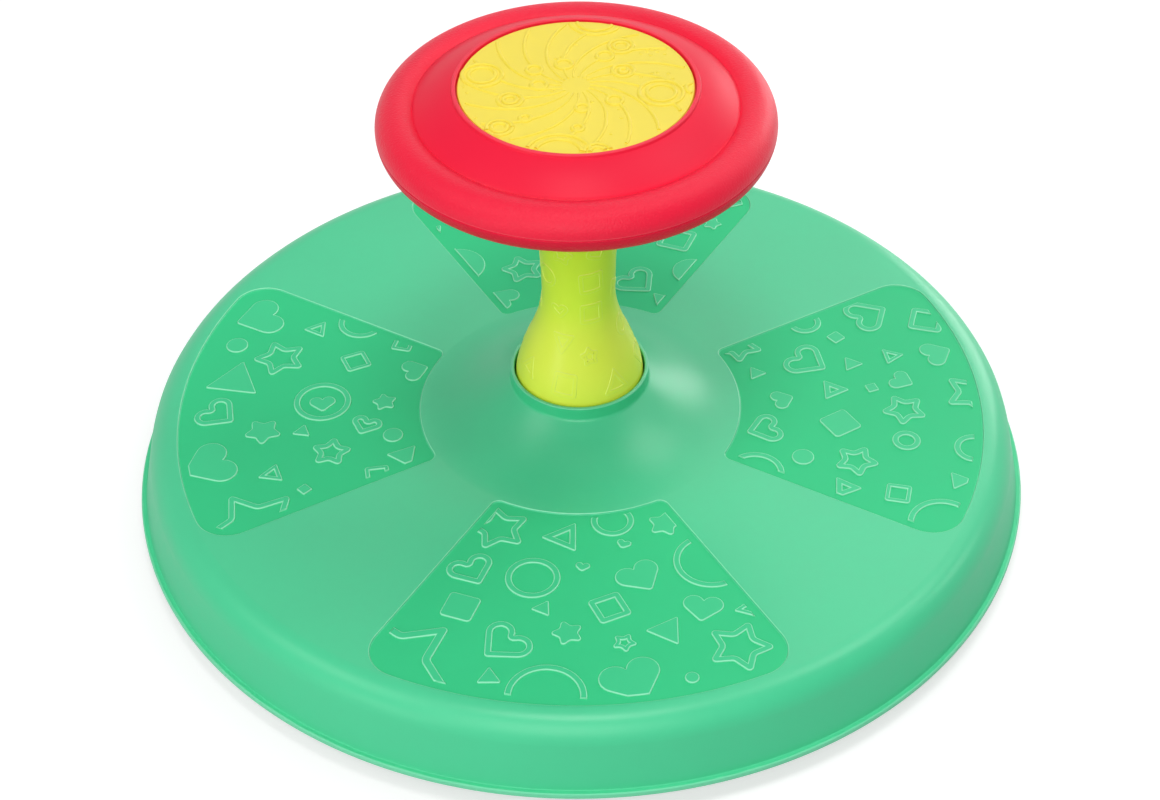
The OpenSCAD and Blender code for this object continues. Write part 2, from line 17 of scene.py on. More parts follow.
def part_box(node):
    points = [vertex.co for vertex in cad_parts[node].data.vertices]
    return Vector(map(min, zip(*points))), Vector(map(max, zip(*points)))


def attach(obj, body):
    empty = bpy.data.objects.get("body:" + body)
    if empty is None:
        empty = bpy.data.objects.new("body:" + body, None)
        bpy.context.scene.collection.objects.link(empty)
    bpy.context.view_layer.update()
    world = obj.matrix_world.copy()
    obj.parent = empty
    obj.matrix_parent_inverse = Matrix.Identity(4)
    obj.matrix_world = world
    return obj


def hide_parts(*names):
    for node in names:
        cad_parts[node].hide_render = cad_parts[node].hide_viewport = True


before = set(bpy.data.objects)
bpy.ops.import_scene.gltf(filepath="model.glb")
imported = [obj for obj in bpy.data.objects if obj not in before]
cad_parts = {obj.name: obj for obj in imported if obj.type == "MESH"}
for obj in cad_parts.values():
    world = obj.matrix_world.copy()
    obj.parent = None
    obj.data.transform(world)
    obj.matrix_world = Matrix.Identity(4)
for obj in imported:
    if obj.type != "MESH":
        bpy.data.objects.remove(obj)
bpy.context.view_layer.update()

# %% [markdown]
# ## Sizes
# A moulding is dimensioned from its edges and faces, so most sizes here are read from the frame's boxes and
# the rest are stated once, in millimetres, beside the piece that they belong to. Blender works in metres, and
# one small factor turns a size on a drawing into a size in the scene.

# %% Main sizes
MM = 0.001
seat_low, seat_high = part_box("seat_dish")
post_low, post_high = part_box("post")
wheel_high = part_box("wheel_top_shell")[1]
shell_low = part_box("wheel_bottom_shell")[0]
disc_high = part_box("wheel_disc")[1]

dish_r = seat_high.x
rim_z = seat_low.z
collar_z = seat_high.z
hub_rise = 29.2 * MM
seat_z = collar_z - hub_rise
hub_r = 91 * MM
collar_r = 39.1 * MM
print("dish radius", round(dish_r / MM, 1), "mm, sitting height", round(seat_z / MM, 1), "mm")

# %% [markdown]
# ## A way to write node trees
# Materials and Geometry Nodes are both trees of nodes. Wiring them by hand takes many lines, so one small
# class stands for an output socket and lets sums be written as Python sums, and one method adds any other
# node from its type, its settings and what goes into its sockets.

# %% Sockets and boards
class Socket:
    """An output of a node, which can be used in sums."""

    def __init__(self, board, node, output=0):
        self.board = board
        self.node = node
        self.plug = node.outputs[output] if len(node.outputs) else None

    def out(self, name):
        return Socket(self.board, self.node, name)

    def sum(self, operation, first, second):
        return self.board.add("ShaderNodeMath", {"operation": operation}, {0: first, 1: second})

    def __add__(self, other):
        return self.sum("ADD", self, other)

    def __radd__(self, other):
        return self.sum("ADD", other, self)

    def __sub__(self, other):
        return self.sum("SUBTRACT", self, other)

    def __rsub__(self, other):
        return self.sum("SUBTRACT", other, self)

    def __mul__(self, other):
        return self.sum("MULTIPLY", self, other)

    def __rmul__(self, other):
        return self.sum("MULTIPLY", other, self)

    def __truediv__(self, other):
        return self.sum("DIVIDE", self, other)

    def __rtruediv__(self, other):
        return self.sum("DIVIDE", other, self)


class Board:
    """A node tree under construction."""

    def __init__(self, tree):
        self.tree = tree

    def add(self, kind, settings=None, sockets=None, output=0):
        node = self.tree.nodes.new(kind)
        for name, value in (settings or {}).items():
            setattr(node, name, value)
        for key, value in (sockets or {}).items():
            if isinstance(value, Socket):
                self.tree.links.new(value.plug, node.inputs[key])
            else:
                node.inputs[key].default_value = value
        return Socket(self, node, output)


print("node trees are written with", Socket.__name__, "and", Board.__name__)

# %% [markdown]
# ## Plastic finishes
# The dish, post and wheel are moulded in coloured plastic with a satin gloss. Pigment is never quite even, a
# mould leaves a fine orange peel, and the gloss changes a little where the plastic cooled faster. A flat
# colour would look like paint, so each finish has a slow cloud in its colour, another in its roughness and a
# fine bump. The patterns read Object coordinates, so that they stay on the piece when it turns.
#
# Some pieces need more. A mesh can mark its rounded edges with an attribute that the finish reads, and the
# finish paints them paler there: a painted highlight where an edge catches the light. The post is painted
# paler towards its foot, painted light for the lit foot and the wheel's shade above it. The wide dish has
# slow waves from cooling, and its drawn side wall is more matt than its top.

# %% The shared plastic
# The point attribute that says how much painted highlight an edge gets.
EDGE = "painted_edge_highlight"


def paint(red, green, blue):
    """A colour as a painter's swatch gives it, from 0 to 255, made linear for the shader."""
    def linear(value):
        share = value / 255
        return share / 12.92 if share <= 0.04045 else ((share + 0.055) / 1.055) ** 2.4
    return (linear(red), linear(green), linear(blue), 1.0)


def shade(colour, factor):
    return tuple(min(part * factor, 1.0) for part in colour[:3]) + (1.0,)


def start_finish(name):
    material = bpy.data.materials.new(name)
    material.use_nodes = True
    material.node_tree.nodes.clear()
    board = Board(material.node_tree)
    place = board.add("ShaderNodeTexCoord", output="Object")
    return material, board, place


def noise(board, place, size, detail=2.0):
    """Clouds of about one size, with values round a half."""
    return board.add("ShaderNodeTexNoise", None, {"Vector": place, "Scale": 1 / size, "Detail": detail})


def between(board, factor, first, second):
    return board.add("ShaderNodeMix", {"data_type": "RGBA"}, {0: factor, 6: first, 7: second}, 2)


def beyond(board, place, near, far):
    """A mask that is zero within one distance from the axis and one beyond another."""
    flat = board.add("ShaderNodeVectorMath", {"operation": "MULTIPLY"}, {0: place, 1: (1.0, 1.0, 0.0)})
    radius = board.add("ShaderNodeVectorMath", {"operation": "LENGTH"}, {0: flat}, "Value")
    return board.add("ShaderNodeMapRange", {"clamp": True}, {
        "Value": radius, "From Min": near, "From Max": far})


def edge_highlight_mask(board):
    return board.add("ShaderNodeAttribute", {"attribute_name": EDGE}, None, "Fac")


def end_finish(board, colour, roughness, height, depth, **steady):
    bump = board.add("ShaderNodeBump", None, {"Distance": depth, "Height": height})
    sockets = {"Base Color": colour, "Roughness": roughness, "Normal": bump}
    sockets.update({name.replace("_", " "): value for name, value in steady.items()})
    shader = board.add("ShaderNodeBsdfPrincipled", None, sockets)
    board.add("ShaderNodeOutputMaterial", None, {"Surface": shader})


cloud_size = 60 * MM
mottle_size = 6 * MM
fine_peel = 0.9 * MM
wide_peel = 3.5 * MM
wave_size = 55 * MM
tone_spread = 0.05
foot_light_from_z = 190 * MM
foot_light_full_z = 90 * MM
matt_from_r = 238 * MM
matt_full_r = 250 * MM


def moulded(name, colour, gloss, peel=0.02 * MM, shine=0.5, edge=None, painted_light=None, side=0.0, waves=0.0):
    """Satin plastic with clouds in its colour and gloss and an orange peel.

    Its marked edges and its foot can be painted paler, as painted highlight and painted light; its side wall
    can be rougher and its flats a little wavy.
    """
    material, board, place = start_finish(name)
    cloud = noise(board, place, cloud_size, 3.0)
    mottle = noise(board, place, mottle_size)
    height = noise(board, place, fine_peel) * 0.6 + noise(board, place, wide_peel) * 0.4
    if waves:
        height = height + noise(board, place, wave_size, 1.0) * (waves / peel)
    dark = shade(colour, 1 - tone_spread)
    light = shade(colour, 1 + tone_spread)
    tint = between(board, cloud * 0.7 + mottle * 0.3, dark, light)
    # Below a height the colour turns paler towards the foot: painted light for the lit foot and the wheel's
    # shade above it.
    if painted_light:
        level = board.add("ShaderNodeSeparateXYZ", None, {0: place}, "Z")
        low_down = board.add("ShaderNodeMapRange", {"clamp": True}, {
            "Value": level, "From Min": foot_light_from_z, "From Max": foot_light_full_z})
        tint = between(board, low_down, tint, painted_light)
    # Marked edges are painted paler here: a painted highlight.
    if edge:
        tint = between(board, edge_highlight_mask(board), tint, edge)
    rough = gloss + 0.10 * (mottle - 0.5) + 0.08 * (cloud - 0.5)
    if side:
        rough = rough + side * beyond(board, place, matt_from_r, matt_full_r)
    end_finish(board, tint, rough, height, peel, Specular_IOR_Level=shine)
    return material


# The seat's and the figures' greens are paler than the panels' green: partly the plastic's colour, partly a
# painted sheen of their glossier tops. Their edge colours are painted highlights.
seat_green = moulded(
    "seat_green", paint(69, 207, 149), 0.34, edge=paint(150, 236, 196), side=0.22, waves=0.5 * MM)
panel_green = moulded("panel_green", paint(52, 205, 137), 0.58, peel=0.05 * MM, shine=0.3)
figure_green = moulded("figure_green", paint(59, 207, 143), 0.48, edge=paint(158, 240, 202), shine=0.38)
base_green = moulded("base_green", paint(52, 160, 112), 0.50, peel=0.05 * MM)
# The post's paler foot colour is painted light, and its edge colour is a painted highlight on its raised
# figures.
post_lime = moulded(
    "post_lime", paint(220, 250, 48), 0.36, painted_light=paint(244, 255, 80), edge=paint(236, 252, 120), shine=0.45)
disc_yellow = moulded("disc_yellow", paint(245, 224, 76), 0.42, shine=0.35)
MOULDED = (seat_green, panel_green, figure_green, base_green, post_lime, disc_yellow)
print("moulded finishes:", ", ".join(finish.name for finish in MOULDED))

# %% [markdown]
# ## The wheel's red
# The round rim of the wheel is grained, so that small wet hands hold it, and the crown inside the rim is
# smooth. One material can do both: the distance from the axis, taken from the Object coordinates, makes a
# mask that is one on the rim and zero on the crown, and the mask scales the grain. The crown and the lower
# shell are duller than the rim, so one recipe makes three reds. The crown's red is painted a little paler,
# a painted sheen, and the lower shell's a little darker, a painted shade. Marked edges are painted paler
# as a painted highlight.

# %% Grained red
grain_from_r = 84.5 * MM
grain_full_r = 88 * MM
fine_grain = 1.0 * MM
coarse_grain = 2.0 * MM
grain_depth = 0.4 * MM
crown_grain = 0.08
red_edge_highlight = paint(255, 96, 112)


def grained_red(name, colour, shine):
    material, board, place = start_finish(name)
    on_rim = beyond(board, place, grain_from_r, grain_full_r)
    cloud = noise(board, place, 50 * MM, 3.0)
    fine = noise(board, place, fine_grain, 3.0)
    coarse = noise(board, place, coarse_grain, 2.0)
    grain = (fine * 0.75 + coarse * 0.25) * (crown_grain + (1 - crown_grain) * on_rim)
    tone = between(board, cloud * 0.6 + fine * on_rim * 0.4, shade(colour, 0.93), shade(colour, 1.08))
    # Marked edges are painted paler here: a painted highlight.
    tone = between(board, edge_highlight_mask(board), tone, red_edge_highlight)
    rough = 0.40 + 0.08 * (cloud - 0.5) + 0.12 * (fine - 0.5) * on_rim
    end_finish(board, tone, rough, grain, grain_depth, Specular_IOR_Level=shine)
    return material


# The crown's slightly paler red is a painted sheen and the lower shell's darker red a painted shade; their
# lower gloss is their finish.
wheel_red = grained_red("wheel_red", paint(241, 24, 60), 0.28)
wheel_red_crown_lit = grained_red("wheel_red_crown_lit", paint(243, 30, 63), 0.16)
wheel_red_low_shaded = grained_red("wheel_red_low_shaded", paint(232, 24, 60), 0.12)
print("three reds, grained beyond a radius of", round(grain_from_r / MM, 1), "mm")

# %% [markdown]
# ## Metal, slide plastic and rubber
# The pieces inside are bright steel, pale low-friction plastic and black rubber. They show only from below
# or through a gap, but the toy is turned over when it is carried. Turned steel has fine rings, so its
# brightness is streaked around the axis by a noise that is squeezed along the height.

# %% Hidden finishes
def bright_steel(name):
    material, board, place = start_finish(name)
    squeezed = board.add("ShaderNodeMapping", None, {"Vector": place, "Scale": (1.0, 1.0, 12.0)})
    streak = noise(board, squeezed, 2.2 * MM, 3.0)
    stain = noise(board, place, 9 * MM)
    tone = between(board, stain, paint(176, 180, 186), paint(206, 209, 213))
    end_finish(board, tone, 0.24 + 0.16 * streak, streak, 0.01 * MM, Metallic=1.0)
    return material


def slide_plastic(name):
    material, board, place = start_finish(name)
    cloud = noise(board, place, 12 * MM)
    tool_marks = noise(board, place, 0.8 * MM, 3.0)
    tone = between(board, cloud, paint(226, 223, 212), paint(240, 238, 229))
    end_finish(board, tone, 0.42 + 0.12 * tool_marks, tool_marks, 0.02 * MM)
    return material


def foot_rubber(name):
    material, board, place = start_finish(name)
    crumb = noise(board, place, 0.6 * MM, 4.0)
    dust = noise(board, place, 8 * MM, 3.0)
    tone = between(board, dust, paint(44, 46, 48), paint(68, 69, 70))
    end_finish(board, tone, 0.72 + 0.16 * crumb, crumb, 0.08 * MM)
    return material


steel = bright_steel("steel")
slide = slide_plastic("slide_plastic")
rubber = foot_rubber("foot_rubber")
inner_finishes = {"floor_base": base_green, "hub_bush": slide, "slip_washer": slide, "ball_cage": slide}
for node_name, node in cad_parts.items():
    finish = inner_finishes.get(node_name, rubber if node_name.startswith("foot_pad") else steel)
    node.data.materials.clear()
    node.data.materials.append(finish)
print("finishes on the inner pieces:", steel.name, slide.name, rubber.name)

# %% [markdown]
# ## Outlines with rounded corners
# Every edge of a moulding has a radius, because sharp corners don't fill and don't leave the mould. A turned
# outline is therefore written as its few true corners, each with its radius, and a helper puts in the arcs.
# It also adds a point just before and after each arc, so that the smooth shading of the arc stays there and
# doesn't spread over the flat faces beside it.

# %% Rounded outlines
ARC_STEPS = 6
edge_guard = 0.3 * MM


def rounded(corners):
    """Points along an outline whose corners are (radius, height, rounding)."""
    spots = [Vector(corner[:2]) for corner in corners]
    cuts = []
    for i, (_, _, rounding) in enumerate(corners):
        cut = 0.0
        if rounding and 0 < i < len(corners) - 1:
            back = (spots[i - 1] - spots[i]).normalized()
            ahead = (spots[i + 1] - spots[i]).normalized()
            cut = rounding / math.tan(back.angle(ahead) / 2)
        cuts.append(cut)
    points = []
    for i, here in enumerate(spots):
        if not cuts[i]:
            points.append(here)
            continue
        back = (spots[i - 1] - here).normalized()
        ahead = (spots[i + 1] - here).normalized()
        spare_back = (spots[i - 1] - here).length - cuts[i] - cuts[i - 1]
        spare_ahead = (spots[i + 1] - here).length - cuts[i] - cuts[i + 1]
        points.append(here + back * (cuts[i] + min(edge_guard, 0.3 * spare_back)))
        reach = corners[i][2] / math.sin(back.angle(ahead) / 2)
        centre = here + (back + ahead).normalized() * reach
        first = here + back * cuts[i] - centre
        last = here + ahead * cuts[i] - centre
        start = math.atan2(first.y, first.x)
        turn = (math.atan2(last.y, last.x) - start + math.pi) % math.tau - math.pi
        for k in range(ARC_STEPS + 1):
            angle = start + turn * k / ARC_STEPS
            points.append(centre + corners[i][2] * Vector((math.cos(angle), math.sin(angle))))
        points.append(here + ahead * (cuts[i] + min(edge_guard, 0.3 * spare_ahead)))
    return points


def curve_between(start, end, start_slope, end_slope, steps):
    """Points of a curve that leaves start along one slope and reaches end along another, in degrees."""
    run = start.x - end.x
    rise = end.y - start.y
    low = math.tan(math.radians(start_slope))
    high = math.tan(math.radians(end_slope))
    reach = (run * high - rise) / (high - low)
    bend = Vector((start.x - reach, start.y + reach * low))
    shares = [k / steps for k in range(steps + 1)]
    return [start * (1 - t) ** 2 + bend * 2 * t * (1 - t) + end * t ** 2 for t in shares]


print("outlines have", ARC_STEPS, "steps to an arc")

# %% [markdown]
# ## Turning an outline round the axis
# Dish, post, wheel and disc are all bodies of revolution, so their shape follows one rule. Blender's Screw
# modifier or Spin could do it, but a Geometry Nodes tree keeps the rule in sight: a grid has one column for
# each step round the axis and one row for each point of the outline, and every grid point looks up its
# outline point and is put at that radius, height and angle. Doubles are merged at the seam and at the axis.

# %% The turning tree
def geometry_board(name, inputs):
    """A Geometry Nodes tree with named inputs, and the sockets that bring them in."""
    tree = bpy.data.node_groups.new(name, "GeometryNodeTree")
    for title, kind in inputs.items():
        tree.interface.new_socket(name=title, in_out="INPUT", socket_type="NodeSocket" + kind)
    tree.interface.new_socket(name="Result", in_out="OUTPUT", socket_type="NodeSocketGeometry")
    board = Board(tree)
    entry = board.add("NodeGroupInput")
    return board, {title: entry.out(title) for title in inputs}


def close_board(board, shape, material):
    plain = board.add("GeometryNodeRealizeInstances", None, {"Geometry": shape})
    dressed = board.add("GeometryNodeSetMaterial", None, {"Geometry": plain, "Material": material})
    board.add("NodeGroupOutput", None, {"Result": dressed})
    return board.tree


def turning_tree():
    board, given = geometry_board("turn_outline", {
        "Outline": "Geometry", "Steps": "Int", "Points": "Int", "Material": "Material"})
    grid = board.add("GeometryNodeMeshGrid", None, {
        "Size X": 1.0, "Size Y": 1.0, "Vertices X": given["Steps"] + 1, "Vertices Y": given["Points"]})
    spot = board.add("ShaderNodeSeparateXYZ", None, {0: board.add("GeometryNodeInputPosition")})
    angle = (spot.out("X") + 0.5) * math.tau
    row = board.add("ShaderNodeMath", {"operation": "ROUND"}, {
        0: (spot.out("Y") + 0.5) * (given["Points"] - 1)})
    looked_up = board.add("GeometryNodeSampleIndex", {"data_type": "FLOAT_VECTOR", "domain": "POINT"}, {
        "Geometry": given["Outline"], "Value": board.add("GeometryNodeInputPosition"), "Index": row})
    point = board.add("ShaderNodeSeparateXYZ", None, {0: looked_up})
    cosine = board.add("ShaderNodeMath", {"operation": "COSINE"}, {0: angle})
    sine = board.add("ShaderNodeMath", {"operation": "SINE"}, {0: angle})
    turned_place = board.add("ShaderNodeCombineXYZ", None, {
        "X": point.out("X") * cosine, "Y": point.out("X") * sine, "Z": point.out("Z")})
    moved = board.add("GeometryNodeSetPosition", None, {"Geometry": grid, "Position": turned_place})
    merged = board.add("GeometryNodeMergeByDistance", None, {"Geometry": moved, "Distance": 0.002 * MM})
    return close_board(board, merged, given["Material"])


TURN = turning_tree()
print("tree", TURN.name, "with", len(TURN.nodes), "nodes")

# %% [markdown]
# ## From a tree to a plain mesh
# The tree runs as a modifier on a small carrier mesh. Its inputs are set by the sockets' identifiers, and the
# evaluated result is taken off as a plain mesh, so that nothing is left to evaluate when the piece is used
# somewhere else. Last, faces are made to point outwards and only true edges are kept sharp.

# %% Growing and tidying meshes
SHARP = math.radians(32)


def tidy(mesh):
    """Merge doubles, turn faces outwards and keep only true edges sharp."""
    work = bmesh.new()
    work.from_mesh(mesh)
    bmesh.ops.remove_doubles(work, verts=work.verts, dist=0.003 * MM)
    bmesh.ops.dissolve_degenerate(work, edges=work.edges, dist=0.002 * MM)
    bmesh.ops.recalc_face_normals(work, faces=work.faces)
    for face in work.faces:
        face.smooth = True
    for edge in work.edges:
        edge.smooth = edge.calc_face_angle(0.0) < SHARP
    work.to_mesh(mesh)
    work.free()


def grow(name, tree, carrier, **inputs):
    """Run a tree on a carrier mesh and give back a piece with the result as its own mesh."""
    piece = bpy.data.objects.new(name, carrier)
    bpy.context.scene.collection.objects.link(piece)
    modifier = piece.modifiers.new("grow", "NODES")
    modifier.node_group = tree
    for item in tree.interface.items_tree:
        if item.in_out == "INPUT" and item.name in inputs:
            modifier[item.identifier] = inputs[item.name]
    bpy.context.view_layer.update()
    evaluated = piece.evaluated_get(bpy.context.evaluated_depsgraph_get())
    mesh = bpy.data.meshes.new_from_object(evaluated)
    piece.modifiers.remove(modifier)
    piece.data = mesh
    mesh.name = name
    mesh.materials.clear()
    mesh.materials.append(inputs["Material"])
    mesh.polygons.foreach_set("material_index", [0] * len(mesh.polygons))
    return piece


def turned(name, points, material, steps=256):
    """A piece whose outline, a list of (radius, height), is turned round the axis."""
    outline = bpy.data.meshes.new(name + ".outline")
    outline.from_pydata([(p.x, 0.0, p.y) for p in points], [], [])
    return grow(name, TURN, outline, Steps=steps, Points=len(points), Material=material)


def paint_edge_highlights(mesh, highlight_rule):
    """Mark each point with how much painted highlight it gets, by a rule on its radius and height."""
    marks = mesh.attributes.get(EDGE) or mesh.attributes.new(EDGE, "FLOAT", "POINT")
    for vert, mark in zip(mesh.vertices, marks.data):
        mark.value = max(mark.value, highlight_rule(vert.co.xy.length, vert.co.z))


def settle(piece, body, slot, *nodes):
    """Ride a finished piece on its body and hide the nodes that it stands for. The slot is not used."""
    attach(piece, body)
    if nodes:
        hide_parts(*nodes)
    print(piece.name, "has", len(piece.data.polygons), "faces and rides on", body)


print("edges stay sharp above", round(math.degrees(SHARP)), "degrees")

# %% [markdown]
# ## The dish
# The dish is one moulding: a flat sitting surface, a big soft shoulder, a drawn side wall, a thin foot rim
# that stiffens the edge, and a bell in the middle that ends in a collar round the post. All but the sitting
# surface is turned from one outline, which runs from the surface's outer edge down the outside, up the
# inside, round the seat of the ball race and the bush tube, and down the bell to the surface's inner edge.

# %% Dish outline
SEAT_STEPS = 320
wall = 3.2 * MM
rim_w = 3 * MM
rim_t = 3.5 * MM
side_draft = 5 * MM
shoulder_r = 15.5 * MM
under_z = seat_z - wall
side_r = dish_r - rim_w
side_lean = side_draft / (seat_z - shoulder_r - rim_z - rim_t)
shoulder_corner_r = side_r - side_lean * (seat_z - rim_z - rim_t)
inner_corner_r = side_r - wall - side_lean * (under_z - rim_z - rim_t)
flat_out_r = 231 * MM
flat_in_r = hub_r + 0.3 * MM

race_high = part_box("upper_race")[1]
bush_low, bush_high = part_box("hub_bush")
race_boss_r = (race_high.x - 22.6 * MM, race_high.x + 2.6 * MM)
race_lip = 2.4 * MM
lip_z = race_high.z - 1.5 * MM
web_top_z = bush_high.z - 2.5 * MM
web_z = web_top_z - wall
tube_r = (22.11 * MM, 25.61 * MM)
tube_z = bush_low.z - 2 * MM
collar_wall = 2.2 * MM
bell_z = collar_z - 8 * MM
bell_slopes = (3, 37)
BELL_STEPS = 24

bell_foot, bell_top = Vector((hub_r, seat_z)), Vector((collar_r, bell_z))
under_foot, under_top = Vector((hub_r, under_z)), Vector((collar_r, bell_z - 1.2 * wall))
bell = curve_between(bell_foot, bell_top, *bell_slopes, BELL_STEPS)
bell_under = curve_between(under_foot, under_top, *bell_slopes, BELL_STEPS)
bell_under = [p for p in bell_under if p.y < web_z - 0.5 * MM]

dish_corners = [
    (flat_out_r, seat_z, 0),
    (shoulder_corner_r, seat_z, shoulder_r),
    (side_r, rim_z + rim_t, 0.8 * MM),
    (dish_r, rim_z + rim_t, 0.9 * MM),
    (dish_r, rim_z, 0.8 * MM),
    (side_r - wall, rim_z, 0.6 * MM),
    (side_r - wall, rim_z + rim_t, 0),
    (inner_corner_r, under_z, shoulder_r - wall),
    (race_boss_r[1], under_z, 1 * MM),
    (race_boss_r[1], lip_z, 0.4 * MM),
    (race_boss_r[1] - race_lip, lip_z, 0.4 * MM),
    (race_boss_r[1] - race_lip, race_high.z, 0),
    (race_boss_r[0] + race_lip, race_high.z, 0),
    (race_boss_r[0] + race_lip, lip_z, 0.4 * MM),
    (race_boss_r[0], lip_z, 0.4 * MM),
    (race_boss_r[0], under_z, 1 * MM),
]
dish_corners += [(p.x, p.y, 0) for p in bell_under]
dish_corners += [
    (bell_under[-1].x - 1.5 * MM, web_z, 0),
    (tube_r[1], web_z, 1 * MM),
    (tube_r[1], tube_z, 0.5 * MM),
    (tube_r[0], tube_z, 0.5 * MM),
    (tube_r[0], web_top_z, 0.4 * MM),
    (collar_r - collar_wall, web_top_z, 0.5 * MM),
    (collar_r - collar_wall, collar_z, 0.7 * MM),
    (collar_r, collar_z, 0.8 * MM),
    (collar_r, bell_z, 2.6 * MM),
]
dish_corners += [(p.x, p.y, 0) for p in reversed(bell[:-3])]
dish_corners += [(flat_in_r, seat_z, 0)]
dish_points = rounded(dish_corners)
dish = turned("seat_dish_moulding", dish_points, seat_green, SEAT_STEPS)
print("dish outline has", len(dish_points), "points")

# %% [markdown]
# ## The sunk panels
# Four panels are sunk a millimetre into the sitting surface, one for each quarter. A panel is a piece of a
# ring with straight sides and rounded corners. A boolean cut would leave ragged edges, so the surface is
# filled round the four outlines instead, and each panel's edge is lofted from a short list of steps: a
# rounded top edge, a small wall and a rounded foot.

# %% Panel outline
panel_in_r = hub_r + 0.9 * MM
panel_out_r = 229.7 * MM
panel_half = math.radians(30)
panel_depth = 1 * MM
panel_corner_in = 5 * MM
panel_corner_out = 19 * MM
panel_edge = 0.5 * MM
seat_turn = -0.75
PANEL_TURNS = {"front": seat_turn, "right": seat_turn + 90, "back": seat_turn + 180, "left": seat_turn + 270}


def arc(centre, radius, start, end, steps):
    return [
        centre + radius * Vector((math.cos(a), math.sin(a)))
        for a in (start + (end - start) * k / steps for k in range(steps + 1))
    ]


def panel_outline():
    """The front panel's outline seen from above, with the middle of the panel on the -Y side."""
    axis = -math.pi / 2
    mid_out = panel_out_r - panel_corner_out
    mid_in = panel_in_r + panel_corner_in
    a_out = panel_half - math.asin(panel_corner_out / mid_out)
    a_in = panel_half - math.asin(panel_corner_in / mid_in)
    zero = Vector((0.0, 0.0))

    def spot(radius, angle):
        return radius * Vector((math.cos(axis + angle), math.sin(axis + angle)))

    quarter = math.pi / 2
    turned_right = axis + panel_half + quarter
    turned_left = axis - panel_half - quarter
    points = arc(zero, panel_out_r, axis - a_out, axis + a_out, 64)
    points += arc(spot(mid_out, a_out), panel_corner_out, axis + a_out, turned_right, 14)
    points += arc(spot(mid_in, a_in), panel_corner_in, turned_right, axis + a_in + math.pi, 8)
    points += arc(zero, panel_in_r, axis + a_in, axis - a_in, 40)
    points += arc(spot(mid_in, -a_in), panel_corner_in, axis - a_in - math.pi, turned_left, 8)
    points += arc(spot(mid_out, -a_out), panel_corner_out, turned_left, axis - a_out, 14)
    return [p for i, p in enumerate(points) if (p - points[i - 1]).length > 0.01 * MM]


def moved_out(loop, distance):
    """A loop, counter-clockwise, moved outwards by a distance with mitred corners."""
    result = []
    for i, here in enumerate(loop):
        back = (here - loop[i - 1]).normalized()
        ahead = (loop[(i + 1) % len(loop)] - here).normalized()
        normal = Vector((back.y + ahead.y, -back.x - ahead.x)).normalized()
        share = max(normal.dot(Vector((back.y, -back.x))), 0.2)
        result.append(here + normal * (distance / share))
    return result


def spun(loop, degrees):
    cosine = math.cos(math.radians(degrees))
    sine = math.sin(math.radians(degrees))
    return [Vector((p.x * cosine - p.y * sine, p.x * sine + p.y * cosine)) for p in loop]


panel_loop = panel_outline()
print("panel outline has", len(panel_loop), "points")

# %% [markdown]
# The loft and the filled surface become one mesh with the turned part of the dish. The loops meet at shared
# points, so merging doubles closes the skin.

# %% Sitting surface and panels
def ring_loop(radius, steps):
    return [radius * Vector((math.cos(a), math.sin(a))) for a in (math.tau * k / steps for k in range(steps))]


def inside(point, loop):
    """Whether a point lies inside a closed loop."""
    odd = False
    for i, b in enumerate(loop):
        a = loop[i - 1]
        if (a.y > point.y) != (b.y > point.y):
            if point.x < (b.x - a.x) * (point.y - a.y) / (b.y - a.y) + a.x:
                odd = not odd
    return odd


def panel_steps():
    """Offset, height and painted highlight of each step down a panel's edge, from the surface to the sunk
    floor.
    """
    steps = [(panel_edge + 0.12 * MM, 0.0, 0.0)]
    for k in range(5):
        angle = math.pi / 2 * k / 4
        # The rounded top edge is marked for a painted highlight.
        painted_light = math.sin(math.pi * k / 5)
        steps.append((panel_edge * (1 - math.sin(angle)), panel_edge * (math.cos(angle) - 1), painted_light))
    for k in range(5):
        angle = math.pi / 2 * k / 4
        drop = panel_edge * (1 - math.sin(angle)) - panel_depth
        steps.append((panel_edge * (math.cos(angle) - 1), drop, 0.0))
    steps.append((-panel_edge - 0.12 * MM, -panel_depth, 0.0))
    return steps


def sitting_surface(work):
    """Fill the flat surface round the panels and loft the panels' edges and floors."""
    mark = work.verts.layers.float.new(EDGE)
    steps = panel_steps()
    lofts = []
    for degrees in PANEL_TURNS.values():
        lofts.append([(spun(moved_out(panel_loop, out), degrees), seat_z + drop) for out, drop, _ in steps])
    holes = [loft[0][0] for loft in lofts]
    loops = [ring_loop(flat_out_r, SEAT_STEPS), ring_loop(flat_in_r, SEAT_STEPS)] + holes
    coords = [p for loop in loops for p in loop]
    edges = []
    first = 0
    for loop in loops:
        edges += [(first + i, first + (i + 1) % len(loop)) for i in range(len(loop))]
        first += len(loop)
    points, _, faces, *_ = delaunay_2d_cdt(coords, edges, [], 0, 1e-7)
    verts = [work.verts.new((p.x, p.y, seat_z)) for p in points]
    for face in faces:
        middle = sum((points[i] for i in face), Vector((0.0, 0.0))) / len(face)
        on_ring = flat_in_r < middle.length < flat_out_r * math.cos(math.pi / SEAT_STEPS)
        if on_ring and not any(inside(middle, hole) for hole in holes):
            work.faces.new([verts[i] for i in face])
    for loft in lofts:
        rows = [[work.verts.new((p.x, p.y, z)) for p in loop] for loop, z in loft]
        for row, (_, _, painted_light) in zip(rows, steps):
            for vert in row:
                vert[mark] = painted_light
        for upper, lower in zip(rows, rows[1:]):
            for i in range(len(upper)):
                work.faces.new((upper[i - 1], upper[i], lower[i], lower[i - 1])).material_index = 0
        work.faces.new(rows[-1]).material_index = 1


def finish_dish(piece):
    work = bmesh.new()
    work.from_mesh(piece.data)
    sitting_surface(work)
    work.to_mesh(piece.data)
    work.free()
    piece.data.materials.append(panel_green)
    tidy(piece.data)


